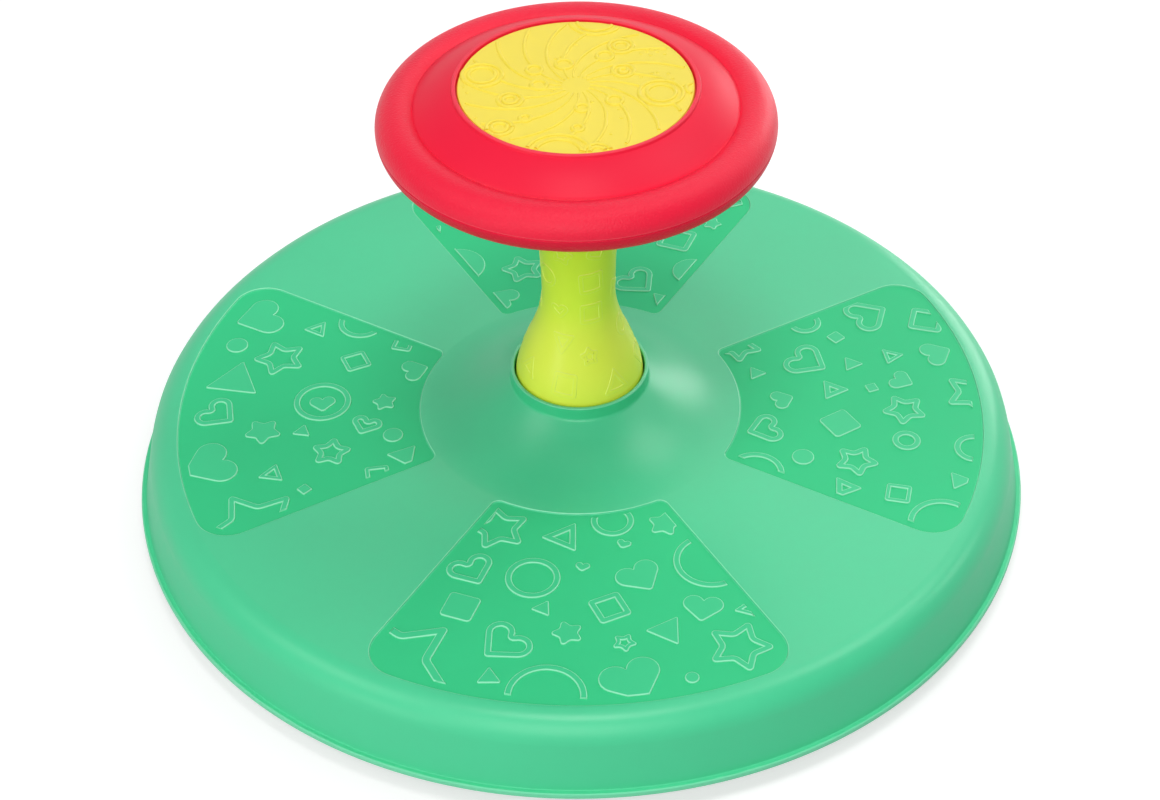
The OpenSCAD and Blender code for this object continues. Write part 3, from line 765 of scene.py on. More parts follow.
# The collar's top edge and the foot rim's outer edge get a painted highlight.
collar_highlight = 0.3
rim_highlight = 0.4


def dish_edge_highlights(radius, height):
    if height > collar_z - 0.75 * MM:
        return collar_highlight
    return rim_highlight if radius > dish_r - 0.9 * MM else 0.0


finish_dish(dish)
paint_edge_highlights(dish.data, dish_edge_highlights)
settle(dish, "seat", "seat_green", "seat_dish")

# %% [markdown]
# ## Ribs under the dish
# Thin radial ribs under the sitting surface carry the child's weight to the ball race. They repeat, so one
# rib is modelled and a Geometry Nodes tree puts copies at equal turns round the axis.

# %% Ribs
def spreading_tree():
    board, given = geometry_board("spread_round_axis", {
        "Shape": "Geometry", "Count": "Int", "Material": "Material"})
    points = board.add("GeometryNodePoints", None, {"Count": given["Count"]})
    turn = board.add("GeometryNodeInputIndex") * (math.tau / given["Count"])
    spin = board.add("ShaderNodeCombineXYZ", None, {"Z": turn})
    copies = board.add("GeometryNodeInstanceOnPoints", None, {
        "Points": points, "Instance": given["Shape"], "Rotation": spin})
    return close_board(board, copies, given["Material"])


SPREAD = spreading_tree()
rib_t = 2.2 * MM
rib_low_z = under_z - 8 * MM


def rib(name, count, outline):
    """Radial ribs with a side view given as (radius, height) points, spread round the axis."""
    half = rib_t / 2
    slim = half * 0.8
    low = min(z for _, z in outline)
    verts = [(r, side * (slim if z == low else half), z) for side in (-1, 1) for r, z in outline]
    n = len(outline)
    faces = [tuple(range(n)), tuple(reversed(range(n, 2 * n)))]
    faces += [(i, (i + 1) % n, n + (i + 1) % n, n + i) for i in range(n)]
    mesh = bpy.data.meshes.new(name + ".one")
    mesh.from_pydata(verts, [], faces)
    piece = grow(name, SPREAD, mesh, Count=count, Material=seat_green)
    tidy(piece.data)
    return piece


rib_out_r = shoulder_corner_r - wall
outer_ribs = rib("dish_ribs_outer", 16, [
    (race_boss_r[1] - 1 * MM, under_z + 0.4 * MM),
    (race_boss_r[1] - 1 * MM, rib_low_z),
    (rib_out_r - 3 * MM, rib_low_z),
    (rib_out_r - 0.6 * MM, rib_low_z + 3 * MM),
    (rib_out_r - 6 * MM, under_z + 0.4 * MM),
])
inner_ribs = rib("dish_ribs_inner", 8, [
    (tube_r[1] - 0.5 * MM, web_z + 0.4 * MM),
    (tube_r[1] - 0.5 * MM, rib_low_z),
    (race_boss_r[0] + 1 * MM, rib_low_z),
    (race_boss_r[0] + 1 * MM, under_z + 0.4 * MM),
    (hub_r - 4 * MM, under_z + 0.6 * MM),
    (bell_under[-1].x, web_z + 0.2 * MM),
])
settle(outer_ribs, "seat", "seat_green")
settle(inner_ribs, "seat", "seat_green")

# %% [markdown]
# ## Raised figures
# Hearts, stars, triangles, squares and rings stand up from the panels' floors, some as plain raised islands
# and some as raised lines. Sweeping a profile along a path pinches at a star's tips, so each kind of figure
# has a rule that gives its outline grown or shrunk by any distance, with true corners. A figure is then a
# stack of such outlines at the heights of a small bevelled edge.

# %% Figure outlines
ROUND_STEPS = 48
CORNER_STEPS = 5
tip_round = 2.2 * MM
triangle_tip = 0.8 * MM
star_waist = 0.54
heart_lobe = 0.265
heart_tip = 0.60
square_corner = 0.13


def soft_polygon(corners, rounding, grow_by):
    """A polygon, counter-clockwise, with rounded corners and moved outwards by a distance."""
    spots = [Vector(corner) for corner in corners]
    loop = []
    for i, here in enumerate(spots):
        back = spots[i - 1] - here
        ahead = spots[(i + 1) % len(spots)] - here
        half = back.angle(ahead) / 2
        inward = (back.normalized() + ahead.normalized()).normalized()
        side = 1 if back.cross(ahead) < 0 else -1
        room = 0.45 * min(back.length, ahead.length) * math.tan(half)
        radius = max(min(rounding, room) + side * grow_by, 0.0)
        corner = here - inward * (side * grow_by / math.sin(half))
        centre = corner + inward * (radius / math.sin(half))
        middle = math.atan2(-inward.y, -inward.x)
        swing = side * (math.pi / 2 - half)
        loop += arc(centre, radius, middle - swing, middle + swing, CORNER_STEPS)
    return loop


def circle_loop(size, grow_by):
    return ring_loop(size / 2 + grow_by, ROUND_STEPS)


def triangle_loop(size, grow_by):
    reach = size / math.sqrt(3)
    angles = [math.radians(a) for a in (90, 210, 330)]
    return soft_polygon([(reach * math.cos(a), reach * math.sin(a)) for a in angles], triangle_tip, grow_by)


def square_loop(size, grow_by):
    half = size / 2
    corners = [(half, half), (-half, half), (-half, -half), (half, -half)]
    return soft_polygon(corners, square_corner * size, grow_by)


def star_loop(size, grow_by):
    corners = []
    for k in range(10):
        angle = math.radians(90 + 36 * k)
        reach = size if k % 2 == 0 else size * star_waist
        corners.append((reach * math.cos(angle), reach * math.sin(angle)))
    return soft_polygon(corners, tip_round, grow_by)


def heart_loop(size, grow_by):
    """Two lobes that meet in a notch, and straight sides down to a rounded tip."""
    lobe = heart_lobe * size
    spread = size / 2 - lobe
    radius = lobe + grow_by
    notch_y = math.sqrt(lobe ** 2 - spread ** 2)
    centre = Vector((spread, 0.0))
    tip = Vector((0.0, -heart_tip * size))
    side = math.asin(lobe / (centre - tip).length) + math.atan2(spread, -tip.y)
    if grow_by >= 0:
        top = math.atan2(math.sqrt(radius ** 2 - spread ** 2), -spread)
        dip = [Vector((0.0, math.sqrt(radius ** 2 - spread ** 2)))] * 5
    else:
        top = math.atan2(notch_y, -spread)
        fan = math.atan2(-notch_y, spread)
        dip = arc(Vector((0.0, notch_y)), -grow_by, math.pi - fan - math.tau, fan, 4)
    tip_radius = max(tip_round + grow_by, 0.0)
    tip_centre = Vector((0.0, tip.y + (tip_radius - grow_by) / math.sin(side)))
    right = arc(centre, radius, top, -side, 20) + arc(tip_centre, tip_radius, -side, -math.pi / 2, 4)
    left = [Vector((-p.x, p.y)) for p in reversed(right[:-1])]
    return list(reversed(dip[1:-1] + right + left))


LOOPS = {
    "circle": circle_loop, "triangle": triangle_loop, "square": square_loop, "star": star_loop,
    "heart": heart_loop,
}
print("kinds of figure:", ", ".join(LOOPS))

# %% [markdown]
# Figures that reach the edge of a panel are cut off a few millimetres short of it, as on the real moulding.
# A point outside that line is pulled back to the nearest place on it, which trims an island neatly. A raised
# line is trimmed by keeping only the stretches that are still inside.

# %% Trimming at the panel's edge
trim_side = 4.8 * MM
trim_hub = 3 * MM
trim_corner = panel_corner_out - trim_side


def pulled_in(point, inset):
    """The nearest place to a point of the front panel that is inside its trimming line."""
    side = -1 if point.x < 0 else 1
    spot = Vector((abs(point.x), point.y))
    margin = trim_side + inset
    corner = trim_corner - inset
    edge = Vector((math.sin(panel_half), -math.cos(panel_half)))
    out = Vector((math.cos(panel_half), math.sin(panel_half)))
    outer_r = panel_out_r - margin
    corner_r = outer_r - corner
    reach = math.sqrt(corner_r ** 2 - (margin + corner) ** 2)
    centre = edge * reach - out * (margin + corner)
    away = spot - centre
    if away.dot(out) > 0 and away.dot(centre) > 0:
        if away.length > corner:
            spot = centre + away.normalized() * corner
    else:
        over = spot.dot(out) + margin
        if over > 0:
            spot = spot - out * over
        radius = spot.length
        limit = min(max(radius, panel_in_r + trim_hub + inset), outer_r)
        spot = spot * (limit / radius)
    return Vector((side * spot.x, spot.y))


def divided(loop, longest):
    """A loop with its long edges divided, the same number of times for every loop of a figure."""
    result = []
    for i, here in enumerate(loop):
        ahead = loop[(i + 1) % len(loop)]
        count = longest[i]
        result += [here.lerp(ahead, k / count) for k in range(count)]
    return result


print("figures stop", round(trim_side / MM, 1), "mm from a panel's sides")

# %% [markdown]
# A figure's edge goes up in a few steps from just under the panel's floor to its flat top. An island has one
# stack of outlines and a lid. A raised line has the same stack on its outside and again, shrunk by the width
# of the line, on its inside.

# %% Building a figure
figure_foot = 0.2 * MM
figure_lean = 0.12 * MM
shading_guard = 0.12 * MM
short_edge = 0.8 * MM


def edge_steps(height, rounding):
    """Inset, height and painted highlight of each step up a figure's edge, from its buried foot to its flat
    top.
    """
    steps = [(-figure_lean, -figure_foot, 0.0)]
    for k in range(5):
        angle = math.pi / 2 * k / 4
        # The rounded edge is marked for a painted highlight.
        painted_light = math.sin(math.pi * (k + 1) / 6)
        steps.append((rounding * (1 - math.cos(angle)), height - rounding * (1 - math.sin(angle)), painted_light))
    return steps + [(rounding + shading_guard, height, 0.0)]


class FigureSheet:
    """Collects figures as faces of one mesh. A place puts a flat point at a height on the piece."""

    def __init__(self):
        self.verts = []
        self.highlight_marks = []
        self.faces = []

    def row(self, loop, step, place):
        first = len(self.verts)
        _, height, painted_light = step
        self.verts += [place(p, height) for p in loop]
        self.highlight_marks += [painted_light] * len(loop)
        return list(range(first, len(self.verts)))

    def bridge(self, lower, upper, closed=True):
        for i in range(0 if closed else 1, len(lower)):
            self.faces.append((lower[i - 1], lower[i], upper[i], upper[i - 1]))

    def piece(self, name, material):
        mesh = bpy.data.meshes.new(name)
        mesh.from_pydata(self.verts, [], self.faces)
        mesh.materials.append(material)
        mesh.attributes.new(EDGE, "FLOAT", "POINT").data.foreach_set("value", self.highlight_marks)
        tidy(mesh)
        made = bpy.data.objects.new(name, mesh)
        bpy.context.scene.collection.objects.link(made)
        return made


def figure(sheet, place, outline, steps, line=0.0, limit=None, fine=False):
    """Add an island, or a raised line of a given width. An outline gives a loop grown by a distance."""
    levels = [(outline(-step[0]), step) for step in steps]
    if line:
        levels += [(outline(step[0] - line), step) for step in reversed(steps)]
    rim = levels[0][0]
    trimmed = limit and any((limit(p, 0.0) - p).length > 1e-7 for p in rim)
    if trimmed or fine:
        gaps = [(rim[(i + 1) % len(rim)] - rim[i]).length for i in range(len(rim))]
        counts = [max(1, math.ceil(gap / short_edge)) for gap in gaps]
        levels = [(divided(loop, counts), step) for loop, step in levels]
    loops = [[limit(p, step[0]) for p in loop] if trimmed else loop for loop, step in levels]
    steps = [step for _, step in levels]
    gone = [all(loops[k][i] != levels[k][0][i] for k in range(len(levels))) for i in range(len(loops[0]))]
    if line and any(gone):
        cut_line(sheet, place, loops, steps, gone)
        return
    rows = [sheet.row(loop, step, place) for loop, step in zip(loops, steps)]
    for lower, upper in zip(rows, rows[1:]):
        sheet.bridge(lower, upper)
    if line:
        sheet.bridge(rows[-1], rows[0])
    else:
        sheet.faces.append(tuple(rows[-1]))
        sheet.faces.append(tuple(reversed(rows[0])))


def cut_line(sheet, place, loops, steps, gone):
    """Add the stretches of a raised line that lie inside the trimming line, closed at their ends."""
    count = len(gone)
    for start in (i for i in range(count) if gone[i - 1] and not gone[i]):
        run = [start]
        while not gone[(run[-1] + 1) % count]:
            run.append((run[-1] + 1) % count)
        if len(run) < 3:
            continue
        rows = [sheet.row([loop[i] for i in run], step, place) for loop, step in zip(loops, steps)]
        for lower, upper in zip(rows, rows[1:] + rows[:1]):
            sheet.bridge(lower, upper, closed=False)
        sheet.faces.append(tuple(row[0] for row in rows))
        sheet.faces.append(tuple(row[-1] for row in reversed(rows)))


def placed(kind, size, middle, turn):
    """The rule for a figure of one kind at a place, as an outline that can be grown."""
    return lambda grow_by: [p + middle for p in spun(LOOPS[kind](size, grow_by), turn)]


print("a figure's edge has", len(edge_steps(1.0, 0.5)), "steps")

# %% [markdown]
# The figures are scattered one by one, as a pattern maker would lay them out. Each entry of a table is one
# figure: its kind, whether it is an island or a line, its place as a share of the panel across and out from
# the hub, its size in millimetres and its turn in degrees.

# %% Figure tables
FIGURES = {
    "front": [
        ("star", "line", -0.77, 0.14, 19, 9), ("triangle", "line", -0.14, 0.13, 22, 90),
        ("circle", "line", 0.35, 0.05, 23.5, 0), ("heart", "island", 0.40, 0.18, 8, -20),
        ("star", "island", 0.83, 0.13, 11, -10), ("heart", "line", -0.80, 0.375, 25.5, 25),
        ("circle", "line", -0.33, 0.365, 29.5, 0), ("heart", "island", 0.03, 0.285, 8, -10),
        ("heart", "island", 0.42, 0.35, 25, 33), ("circle", "line", 0.96, 0.39, 40, 0),
        ("square", "island", -0.70, 0.585, 17.5, -20), ("triangle", "island", -0.22, 0.52, 11.5, 92),
        ("square", "line", 0.19, 0.515, 18, 25), ("heart", "island", 0.74, 0.585, 21.5, -8),
        ("triangle", "line", 0.95, 0.68, 14, 100), ("star", "line", -0.86, 0.94, 38.5, 21),
        ("heart", "line", -0.365, 0.695, 29, -47), ("star", "island", -0.06, 0.64, 10, 18),
        ("star", "line", 0.24, 0.70, 7.6, -26), ("triangle", "island", 0.48, 0.67, 20, 90),
        ("star", "line", 0.785, 0.835, 19.5, -19), ("triangle", "island", -0.405, 0.895, 13, 0),
        ("circle", "line", -0.14, 0.955, 42, 0), ("heart", "island", 0.235, 0.86, 33, 25),
        ("circle", "island", 0.51, 0.92, 7.5, 0),
    ],
    "left": [
        ("heart", "island", -0.77, 0.82, 32, 18), ("triangle", "line", -0.78, 0.575, 15, 180),
        ("circle", "line", -0.98, 0.425, 28, 0), ("square", "line", -0.905, 0.19, 12, -14),
        ("circle", "island", -0.49, 0.86, 13, 0), ("star", "line", -0.44, 0.65, 17.6, -33),
        ("triangle", "island", -0.20, 0.80, 31, 80), ("heart", "line", 0.055, 0.86, 26, 145),
        ("heart", "island", -0.55, 0.08, 18, -162), ("star", "island", 0.245, 0.65, 12.5, -16),
        ("heart", "island", 0.45, 0.85, 33.5, 29), ("circle", "island", 0.47, 0.125, 11.5, 0),
        ("triangle", "island", 0.80, 0.115, 18, 175), ("triangle", "line", 0.63, 0.645, 15, 80),
        ("square", "line", 0.93, 0.255, 13.5, 10), ("square", "island", 0.835, 0.55, 6.4, 45),
        ("star", "line", 0.98, 0.80, 29.5, -18),
        ("circle", "line", -0.03, 0.41, 33, 0), ("heart", "island", -0.03, 0.41, 15, 96),
        ("star", "line", 0.54, 0.39, 13.5, 12), ("triangle", "island", 0.28, 0.49, 11, 200),
        ("square", "line", -0.54, 0.33, 15, 24), ("star", "island", -0.03, 0.15, 8.5, 30),
        ("heart", "line", 0.25, 0.22, 18, 70),
    ],
    "right": [
        ("star", "line", 0.95, 0.10, 16.5, 20), ("circle", "line", 0.945, 0.435, 20, 0),
        ("heart", "line", 0.82, 0.68, 29, 30), ("square", "line", 0.655, 0.925, 20, -14),
        ("square", "island", 0.70, 0.51, 8.2, 40), ("heart", "line", 0.55, 0.315, 28, -34),
        ("triangle", "island", 0.47, 0.10, 11.5, 180), ("triangle", "island", 0.40, 0.51, 12.5, 180),
        ("heart", "island", 0.38, 0.865, 20.5, 25), ("triangle", "line", 0.14, 0.395, 17, 180),
        ("heart", "island", 0.03, 0.165, 15.2, 20), ("heart", "line", -0.385, 0.13, 23.5, -165),
        ("square", "island", -0.235, 0.415, 18, 32), ("star", "line", 0.06, 0.985, 20.5, 29),
        ("circle", "line", -0.34, 0.965, 22.5, 0), ("circle", "island", -0.68, 0.30, 12.5, 0),
        ("star", "line", -0.595, 0.51, 14.6, 23), ("circle", "line", -1.03, 0.16, 32, 0),
        ("triangle", "line", -0.87, 0.515, 17, 176), ("square", "line", -0.785, 0.72, 14, -12),
        ("triangle", "island", -0.585, 0.93, 14, 180), ("circle", "line", -0.90, 0.94, 39, 0),
        ("star", "line", -0.07, 0.68, 15, 8), ("heart", "island", 0.20, 0.68, 16, -28),
        ("circle", "line", -0.34, 0.69, 16, 0), ("triangle", "line", 0.42, 0.69, 14, 70),
        ("square", "island", 0.14, 0.56, 6.5, 20),
    ],
    "back": [
        ("circle", "island", 1.01, 0.42, 33, 0), ("star", "line", 0.53, 0.28, 15.5, -18),
        ("heart", "island", 0.84, 0.10, 20.5, 60), ("triangle", "line", 0.98, 0.70, 14, 30),
        ("square", "line", -0.70, 0.54, 21, -21), ("star", "island", -0.86, 0.71, 7, 10),
        ("heart", "line", -0.51, 0.20, 28, -139), ("circle", "island", -0.97, 0.35, 24, 0),
        ("triangle", "island", -0.90, 0.11, 13, 100), ("square", "line", -0.88, 0.92, 13, 20),
        ("star", "island", -0.17, 0.42, 13, 10), ("circle", "line", 0.03, 0.66, 26, 0),
        ("heart", "island", 0.38, 0.60, 26, -20), ("triangle", "island", 0.68, 0.82, 18, 60),
        ("star", "line", -0.38, 0.80, 16, 8), ("heart", "line", 0.11, 0.90, 24, 160),
        ("triangle", "line", 0.13, 0.22, 16, 40), ("circle", "island", 0.42, 0.86, 9, 0),
    ],
}
wide_line = 4.6 * MM
usual_line = 3.6 * MM
slim_line = 2.6 * MM


def line_width(kind, size):
    """A raised line is wider on a big figure and slimmer on a small one."""
    across = 2 * size if kind == "star" else size
    return wide_line if across > 60 else slim_line if across < 16 else usual_line


panel_floor_z = seat_z - panel_depth
figure_h = 0.9 * MM
figure_round = 0.55 * MM
panel_steps_up = edge_steps(figure_h, figure_round)


def on_panel(degrees):
    def place(point, height):
        flat = spun([point], degrees)[0]
        return (flat.x, flat.y, panel_floor_z + height)
    return place


panel_sheet = FigureSheet()
for panel, degrees in PANEL_TURNS.items():
    for kind, style, across, out, size, turn in FIGURES[panel]:
        radius = panel_in_r + out * (panel_out_r - panel_in_r)
        middle = Vector((radius * math.sin(across * panel_half), -radius * math.cos(across * panel_half)))
        line = line_width(kind, size) if style == "line" else 0.0
        outline = placed(kind, size * MM, middle, turn)
        figure(panel_sheet, on_panel(degrees), outline, panel_steps_up, line, pulled_in)
panel_figures = panel_sheet.piece("panel_figures", figure_green)
settle(panel_figures, "seat", "seat_green")

# %% [markdown]
# ## The post
# The post flares out at its foot like a tree and swells again a little at its head. Its foot stands in the
# dish's collar, and its head goes into a socket under the wheel. It is a hollow tube, so its outline goes up
# the outside and down the inside.

# %% Post
post_foot_r = post_high.x
post_waist_r = 20.3 * MM
post_head_r = 24 * MM
post_foot_h = 5.4 * MM
post_flare_h = 63 * MM
post_wall = 3.5 * MM
socket_z = shell_low.z
flare_z = post_low.z + post_foot_h
waist_z = flare_z + post_flare_h


def post_radius(z):
    if z < flare_z:
        return post_foot_r
    if z < waist_z:
        swell = (1 + math.cos(math.pi * (z - flare_z) / post_flare_h)) / 2
        return post_waist_r + (post_foot_r - post_waist_r) * swell
    share = min((z - waist_z) / (socket_z - waist_z), 1.0)
    return post_waist_r + (post_head_r - post_waist_r) * share ** 1.5


post_rows = 48
side = [post_low.z + (post_high.z - post_low.z) * k / post_rows for k in range(post_rows + 1)]
outside = [Vector((post_radius(z), z)) for z in side]
inside_wall = [Vector((post_radius(z) - post_wall, z)) for z in reversed(side)]
post = turned("post_moulding", outside + inside_wall + outside[:1], post_lime, 160)
tidy(post.data)
settle(post, "base", "post_lime", "post")

# %% [markdown]
# The post carries the same kinds of figure as the panels, but only as faint raised lines. They are drawn flat
# and wrapped round the post: the distance across becomes an angle, and the distance up stays a height. Long
# edges are divided first, so that they bend with the surface.

# %% Figures on the post
POST_FIGURES = [
    ("square", 20, 136, 13, 0), ("triangle", -22, 119, 14, 180), ("triangle", 37, 92, 17, 0),
    ("square", 20, 157, 14, 4), ("circle", -56, 157, 14, 0), ("heart", -32, 138, 11, 10),
    ("star", 12, 111, 6.5, 8), ("square", -15, 95, 14, -4), ("triangle", -60, 96, 14, -12),
    ("star", -25, 176, 8, -10), ("heart", 28, 178, 13, 25), ("circle", 75, 118, 12, 0),
    ("heart", 88, 96, 17, -15), ("triangle", 70, 146, 13, 30), ("star", 78, 170, 8, 12),
    ("square", 120, 104, 15, 20), ("circle", 128, 134, 14, 0), ("heart", 125, 160, 12, -30),
    ("triangle", 150, 90, 15, 8), ("star", 176, 110, 8, -6), ("square", 172, 140, 12, 15),
    ("triangle", 180, 166, 13, 180), ("heart", 205, 94, 16, 12), ("circle", 222, 124, 13, 0),
    ("star", 228, 150, 8, 20), ("square", 226, 174, 12, -8), ("triangle", 252, 102, 15, 60),
    ("heart", 264, 132, 13, -18), ("circle", 270, 160, 11, 0), ("triangle", 60, 198, 13, 10),
    ("circle", -10, 200, 12, 0), ("square", 130, 190, 12, 25), ("star", 200, 200, 8, 5),
    ("heart", 275, 190, 13, 15), ("triangle", -60, 212, 12, 180),
]
post_line = 2.4 * MM
post_figure_h = 0.26 * MM
post_steps_up = edge_steps(post_figure_h, post_figure_h)


def on_post(degrees, level):
    middle_r = post_radius(level)

    def place(point, height):
        angle = math.radians(degrees) + point.x / middle_r
        radius = post_radius(level + point.y) + height
        return (radius * math.sin(angle), -radius * math.cos(angle), level + point.y)
    return place


post_sheet = FigureSheet()
for kind, degrees, level, size, turn in POST_FIGURES:
    outline = placed(kind, size * MM, Vector((0.0, 0.0)), turn)
    figure(post_sheet, on_post(degrees, level * MM), outline, post_steps_up, post_line, fine=True)
post_figures = post_sheet.piece("post_figures", post_lime)
settle(post_figures, "base", "post_lime")

# %% [markdown]
# ## The hand wheel
# The wheel is two shells that meet at the middle of the round rim, where a thin parting line shows. The top
# shell has the rim's crest, a crease, a slightly domed crown that rises to a fine lip, and a recess that
# takes the yellow disc. The bottom shell has the underside of the rim, a plate and the socket for the post.
# The crown's faces wear the smoother, duller red, painted a little paler as a painted sheen, and the bottom
# shell wears the dullest, painted a little darker as a painted shade.

# %% Wheel shells
wheel_r = wheel_high.x
tube = 12.55 * MM
mid_r = wheel_r - tube
mid_z = 249.75 * MM
parting = math.radians(-1)
crease_in = 7.2 * MM
crease = math.acos(-crease_in / tube)
shell = 3 * MM
lip_h = 0.7 * MM
crown_z = wheel_high.z - lip_h
disc_gap = 0.3 * MM
disc_r = disc_high.x
seat_r = disc_r + disc_gap
lip_r = seat_r + 2.6 * MM
lip_foot_z = crown_z - 0.9 * MM
crease_step = 0.5 * MM
crown_slopes = (33, 17)
CROWN_STEPS = 20
disc_t = 2.5 * MM
ledge_r = seat_r - 7.6 * MM
plate_z = shell_low.z + 8 * MM
socket_r = post_head_r + 0.2 * MM
bolt_hole_r = 4.6 * MM
parting_edge = 0.5 * MM
middle = Vector((mid_r, mid_z))
lip_off = parting_edge / tube


def rim_arc(radius, start, end, steps):
    return arc(middle, radius, start, end, steps)


crest = rim_arc(tube, parting + lip_off, crease, 44)
foot = rim_arc(tube - 0.45 * MM, parting, parting, 1)[:1]
crown_edge = crest[-1] + Vector((-0.35 * MM, crease_step))
crown = curve_between(crown_edge, Vector((lip_r + 0.3 * MM, lip_foot_z)), *crown_slopes, CROWN_STEPS)
lip_corners = [
    (crown[-2].x, crown[-2].y, 0),
    (crown[-1].x, crown[-1].y, 0.25 * MM),
    (lip_r - 0.3 * MM, crown_z + lip_h, 0.5 * MM),
    (seat_r + 0.4 * MM, crown_z + lip_h, 0.45 * MM),
    (seat_r, crown_z - disc_t, 0),
    (ledge_r, crown_z - disc_t, 0.3 * MM),
    (ledge_r, crown_z - disc_t - shell, 0.3 * MM),
    (lip_r, crown_z - disc_t - shell, 0),
]
top_points = foot + crest + crown[:-2] + rounded(lip_corners)
top_points += rim_arc(tube - shell, crease, parting, 24) + foot
wheel_top = turned("wheel_top_moulding", top_points, wheel_red, 256)
tidy(wheel_top.data)
wheel_top.data.materials.append(wheel_red_crown_lit)
for face in wheel_top.data.polygons:
    if face.center.xy.length < crown_edge.x:
        face.material_index = 1


# The lip round the disc and the parting line get a painted highlight.
lip_highlight = 0.3
parting_highlight = 0.5


def wheel_edge_highlights(radius, height):
    on_lip = seat_r < radius < lip_r and height > crown_z + 0.3 * MM
    on_parting = radius > mid_r + 0.9 * tube and height < mid_z + tube * (parting + 1.5 * lip_off)
    return lip_highlight if on_lip else parting_highlight if on_parting else 0.0


paint_edge_highlights(wheel_top.data, wheel_edge_highlights)
settle(wheel_top, "base", "wheel_red", "wheel_top_shell")

outer_drop = math.asin((plate_z - mid_z) / tube)
inner_drop = math.asin((plate_z + shell - mid_z) / (tube - shell))
under = rim_arc(tube, parting - lip_off, -math.pi - outer_drop, 40)
socket_corners = [
    (under[-1].x, plate_z, 0),
    (socket_r + 5 * MM, plate_z, 1 * MM),
    (socket_r + 5 * MM, socket_z, 0.8 * MM),
    (socket_r, socket_z, 0.4 * MM),
    (socket_r, plate_z, 0),
    (bolt_hole_r, plate_z, 0),
    (bolt_hole_r, plate_z + shell, 0),
]
under_points = foot + under + rounded(socket_corners)[1:]
under_points += rim_arc(tube - shell, -math.pi - inner_drop, parting, 24) + foot
wheel_under = turned("wheel_under_moulding", under_points, wheel_red_low_shaded, 256)
tidy(wheel_under.data)
settle(wheel_under, "base", "wheel_red", "wheel_bottom_shell")

# %% [markdown]
# ## The yellow disc
# The disc drops into the top shell and has a rounded edge. Low rings and swirling arms are raised on it. The
# disc itself is turned from an outline, as the shells are.

# %% Disc body
disc_face_z = crown_z - 0.3 * MM
disc_corners = [
    (0.0, disc_face_z, 0),
    (disc_r - 0.5 * MM, disc_face_z, 0.5 * MM),
    (disc_r, crown_z - 1.6 * MM, 0.3 * MM),
    (disc_r, crown_z - disc_t, 0.2 * MM),
    (0.0, crown_z - disc_t, 0),
]
disc = turned("disc_moulding", rounded(disc_corners), disc_yellow, 192)
tidy(disc.data)
settle(disc, "base", "disc_yellow", "wheel_disc")

# %% [markdown]
# The relief is a set of paths on the disc's face. A ring is a circle given as shares of the disc's radius,
# and it is cut off where it leaves the disc. An arm starts near the middle and swings back as it goes out,
# and it stops where it meets a ring. A dot is a tiny ring with a slim bead.

# %% Paths on the disc
RINGS = [
    (-0.79, 0.17, 0.170, 0.115), (0.71, -0.13, 0.185, 0.120), (0.39, 0.59, 0.105, 0.062),
    (0.40, 0.21, 0.092, 0.035), (-0.55, -0.21, 0.102, 0.055), (-0.63, -0.61, 0.108, 0.065),
    (0.18, 1.01, 0.228, 0.165), (-0.15, -0.98, 0.262, 0.190), (0.17, -0.97, 0.112, 0.065),
    (1.00, -0.07, 0.082, 0), (-0.35, 0.24, 0.066, 0), (-0.10, 0.32, 0.070, 0),
    (0.25, 0.44, 0.070, 0), (-0.31, 0.01, 0.066, 0), (0.05, -0.34, 0.056, 0),
    (0.01, -0.63, 0.046, 0), (0.32, -0.23, 0.066, 0), (-0.42, -0.48, 0.046, 0),
]
DOTS = [
    (-0.37, -0.15), (-0.41, -0.18), (-0.70, -0.10), (0.01, 0.63), (-0.12, 0.43), (-0.17, 0.41),
    (0.64, 0.17), (0.69, 0.18), (0.55, 0.11), (0.74, 0.09), (0.81, 0.08), (0.78, 0.16),
    (0.56, 0.47), (0.61, 0.50), (0.66, 0.53), (0.64, 0.45), (0.70, 0.50), (0.76, 0.46),
    (0.13, -0.25), (0.11, -0.40), (0.35, -0.36), (0.40, -0.38), (0.37, -0.49), (0.28, -0.72),
    (-0.83, -0.46), (-0.94, 0.00), (-0.91, -0.09), (-0.20, -0.08), (0.08, 0.12),
]
dot_r = 0.55 * MM
dot_share = 0.42
ARM_COUNT = 18
ARM_ROWS = 60
arm_in_r = 0.12 * disc_r
arm_out_r = 0.95 * disc_r
arm_swing = math.radians(45)
relief_edge = disc_r - 1.3 * MM


def clear_of_rings(point):
    return all((point - disc_r * Vector((x, y))).length > outer * disc_r for x, y, outer, _ in RINGS)


def arm_path(first):
    points = []
    for k in range(ARM_ROWS + 1):
        share = k / ARM_ROWS
        radius = arm_in_r + (arm_out_r - arm_in_r) * share
        angle = first - arm_swing * share
        points.append(radius * Vector((math.cos(angle), math.sin(angle))))
    return points


def kept_stretches(points, kept):
    """The stretches of a path whose points are kept. A path that is kept whole comes back as it is."""
    marks = [kept(p) for p in points]
    if all(marks):
        return [points]
    first = marks.index(False)
    runs = [[]]
    for k in range(1, len(points) + 1):
        i = (first + k) % len(points)
        if marks[i] and i:
            runs[-1].append(points[i])
        else:
            runs.append([points[i]] if marks[i] else [])
    return [run for run in runs if len(run) > 2]


